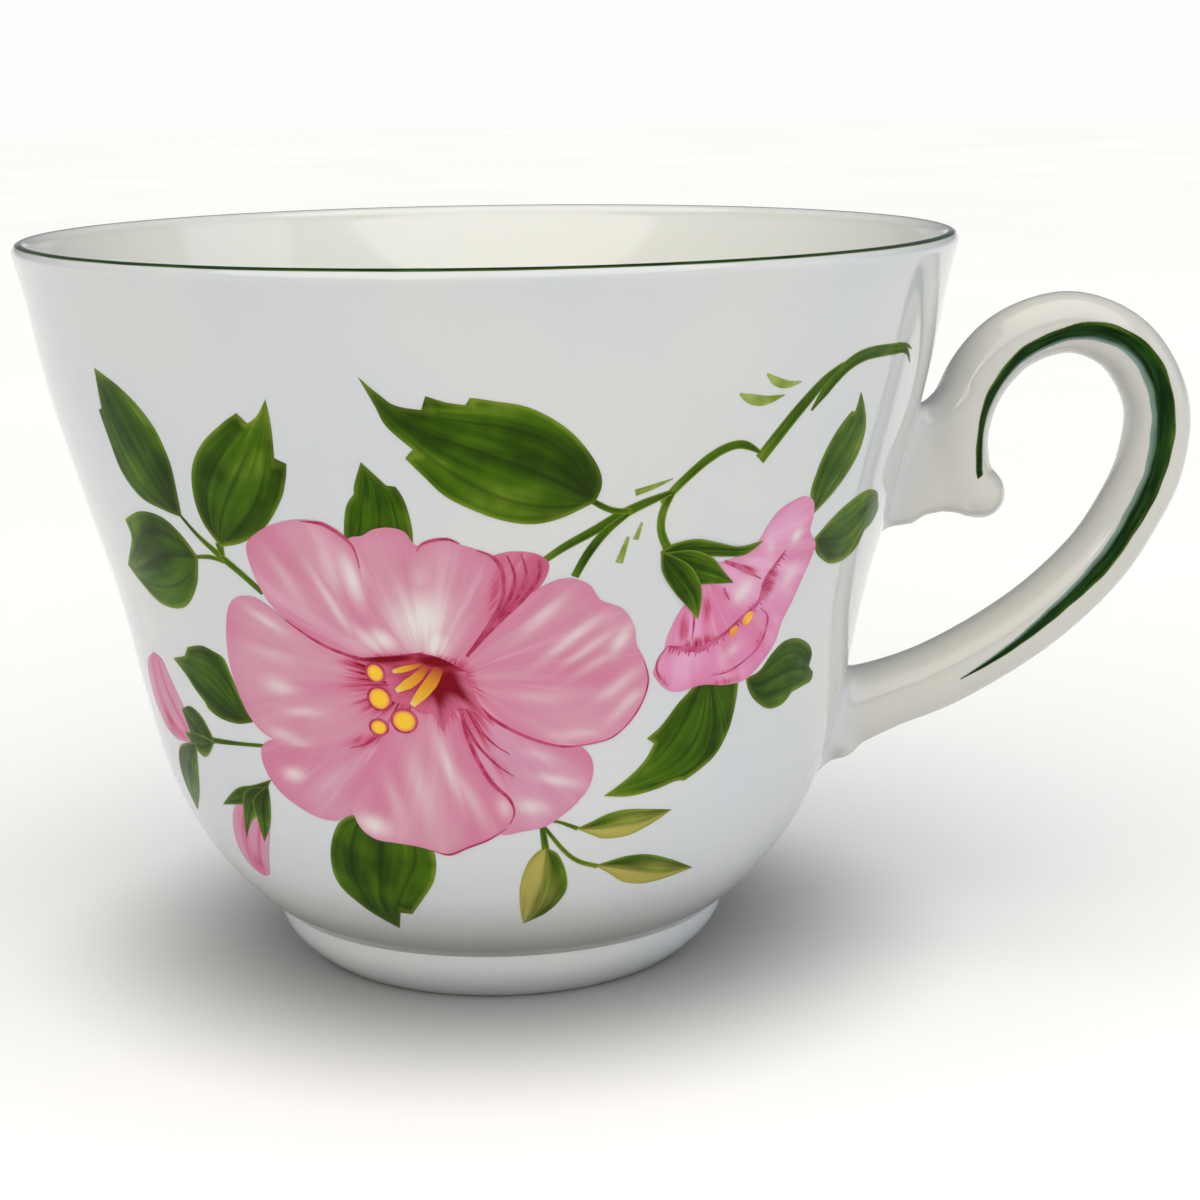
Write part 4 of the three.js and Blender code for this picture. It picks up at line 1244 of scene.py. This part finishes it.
def build_floor():
    shader = Shader("pale_floor_painted_shadow", 0.9, 0.0)
    place = shader.place()
    from_cup = {0: place, 1: (AXIS_X, 0, 0)}
    away = shader.node("ShaderNodeVectorMath", from_cup, operation="DISTANCE").outputs["Value"]
    tint = shader.remap(shader.noise(place, 6.0, 2.0), 0.3, 0.7)
    pale = shader.mix(tint, linear(248, 248, 248), linear(251, 251, 251))
    # Painted shadow: the floor darkens to grey close round the cup's foot.
    shader.colour(shader.mix(shader.remap(away, 0.02, 0.05), linear(175, 175, 175), pale))
    half = 3.0
    corners = [(-half, -half, 0), (half, -half, 0), (half, half, 0), (-half, half, 0)]
    mesh = bpy.data.meshes.new("floor")
    mesh.from_pydata(corners, [], [[0, 1, 2, 3]])
    floor = bpy.data.objects.new("floor", mesh)
    bpy.context.scene.collection.objects.link(floor)
    mesh.materials.append(shader.material)


def area_light(name, place, aim, size, watts, colour):
    data = bpy.data.lights.new(name, "AREA")
    data.shape = "RECTANGLE"
    data.size, data.size_y = size
    data.energy = watts
    data.color = colour
    light = bpy.data.objects.new(name, data)
    light.location = place
    light.rotation_euler = (Vector(aim) - Vector(place)).to_track_quat("-Z", "Y").to_euler()
    bpy.context.scene.collection.objects.link(light)


def build_lights():
    """A big soft light overhead, warm from the left and cool from the right."""
    aim = (AXIS_X, 0, 0.04)
    sky = bpy.data.lights.new("overhead", "SUN")
    sky.energy = 3.0
    sky.angle = math.radians(95)
    sky.color = (1.0, 0.97, 0.91)
    overhead = bpy.data.objects.new("overhead", sky)
    overhead.rotation_euler = Vector((0.06, 0.55, -1.0)).to_track_quat("-Z", "Y").to_euler()
    bpy.context.scene.collection.objects.link(overhead)
    area_light("window_left", (-0.75, -0.5, 0.75), aim, (0.4, 0.5), 0.14, (1.0, 0.96, 0.88))
    area_light("window_right", (0.96, -0.2, 0.34), aim, (0.6, 0.5), 1.0, (0.72, 0.84, 1.0))
    area_light("window_front", (-0.33, -0.87, 0.3), aim, (0.1, 0.12), 0.14, (1.0, 1.0, 1.0))


def build_room():
    """A pale room to the camera. As light it is a bright horizon under a dim ceiling."""
    world = bpy.data.worlds.new("studio")
    world.use_nodes = True
    nodes, links = world.node_tree.nodes, world.node_tree.links
    direction = nodes.new("ShaderNodeTexCoord")
    parts = nodes.new("ShaderNodeSeparateXYZ")
    rise = nodes.new("ShaderNodeMapRange")
    rise.interpolation_type = "SMOOTHSTEP"
    rise.inputs["From Min"].default_value = 0.025
    rise.inputs["From Max"].default_value = 0.1
    shade = nodes.new("ShaderNodeMix")
    shade.data_type = "RGBA"
    shade.inputs[6].default_value = (0.78, 0.79, 0.80, 1.0)
    shade.inputs[7].default_value = (0.2, 0.215, 0.235, 1.0)
    links.new(direction.outputs["Generated"], parts.inputs[0])
    links.new(parts.outputs["Z"], rise.inputs["Value"])
    links.new(rise.outputs["Result"], shade.inputs[0])
    seen = nodes.new("ShaderNodeLightPath")
    room = nodes.new("ShaderNodeMix")
    room.data_type = "RGBA"
    room.inputs[7].default_value = (0.982, 0.98, 0.97, 1.0)
    links.new(seen.outputs["Is Camera Ray"], room.inputs[0])
    links.new(shade.outputs[2], room.inputs[6])
    links.new(room.outputs[2], nodes["Background"].inputs["Color"])
    bpy.context.scene.world = world
    bpy.context.scene.view_settings.view_transform = "Standard"


def build_camera():
    """A long lens a quarter of a metre in front, a little above the rim and pitched down."""
    pitch, roll, yaw = math.radians(12.0), math.radians(0.72), math.radians(2.38)
    forward = Vector((math.sin(yaw) * math.cos(pitch), math.cos(yaw) * math.cos(pitch), -math.sin(pitch)))
    level = Vector((math.cos(yaw), -math.sin(yaw), 0))
    down = forward.cross(level)
    right = math.cos(roll) * level + math.sin(roll) * down
    up = math.sin(roll) * level - math.cos(roll) * down
    data = bpy.data.cameras.new("camera")
    data.lens = 76.8  # millimetres
    data.sensor_width = 36.0
    data.clip_start = 0.01
    camera = bpy.data.objects.new("camera", data)
    turn = Matrix((right, up, -forward)).transposed().to_4x4()
    camera.matrix_world = Matrix.Translation((AXIS_X, -0.249, 0.0874)) @ turn
    bpy.context.scene.collection.objects.link(camera)
    bpy.context.scene.camera = camera


build_camera()
build_lights()
build_room()
build_floor()
build_bowl()
build_foot()
build_handle()
build_handle_line("handle_line_near_enamel", -1, "handle_line_near")
build_handle_line("handle_line_far_enamel", 1, "handle_line_far")
build_rim_line()
build_spray()
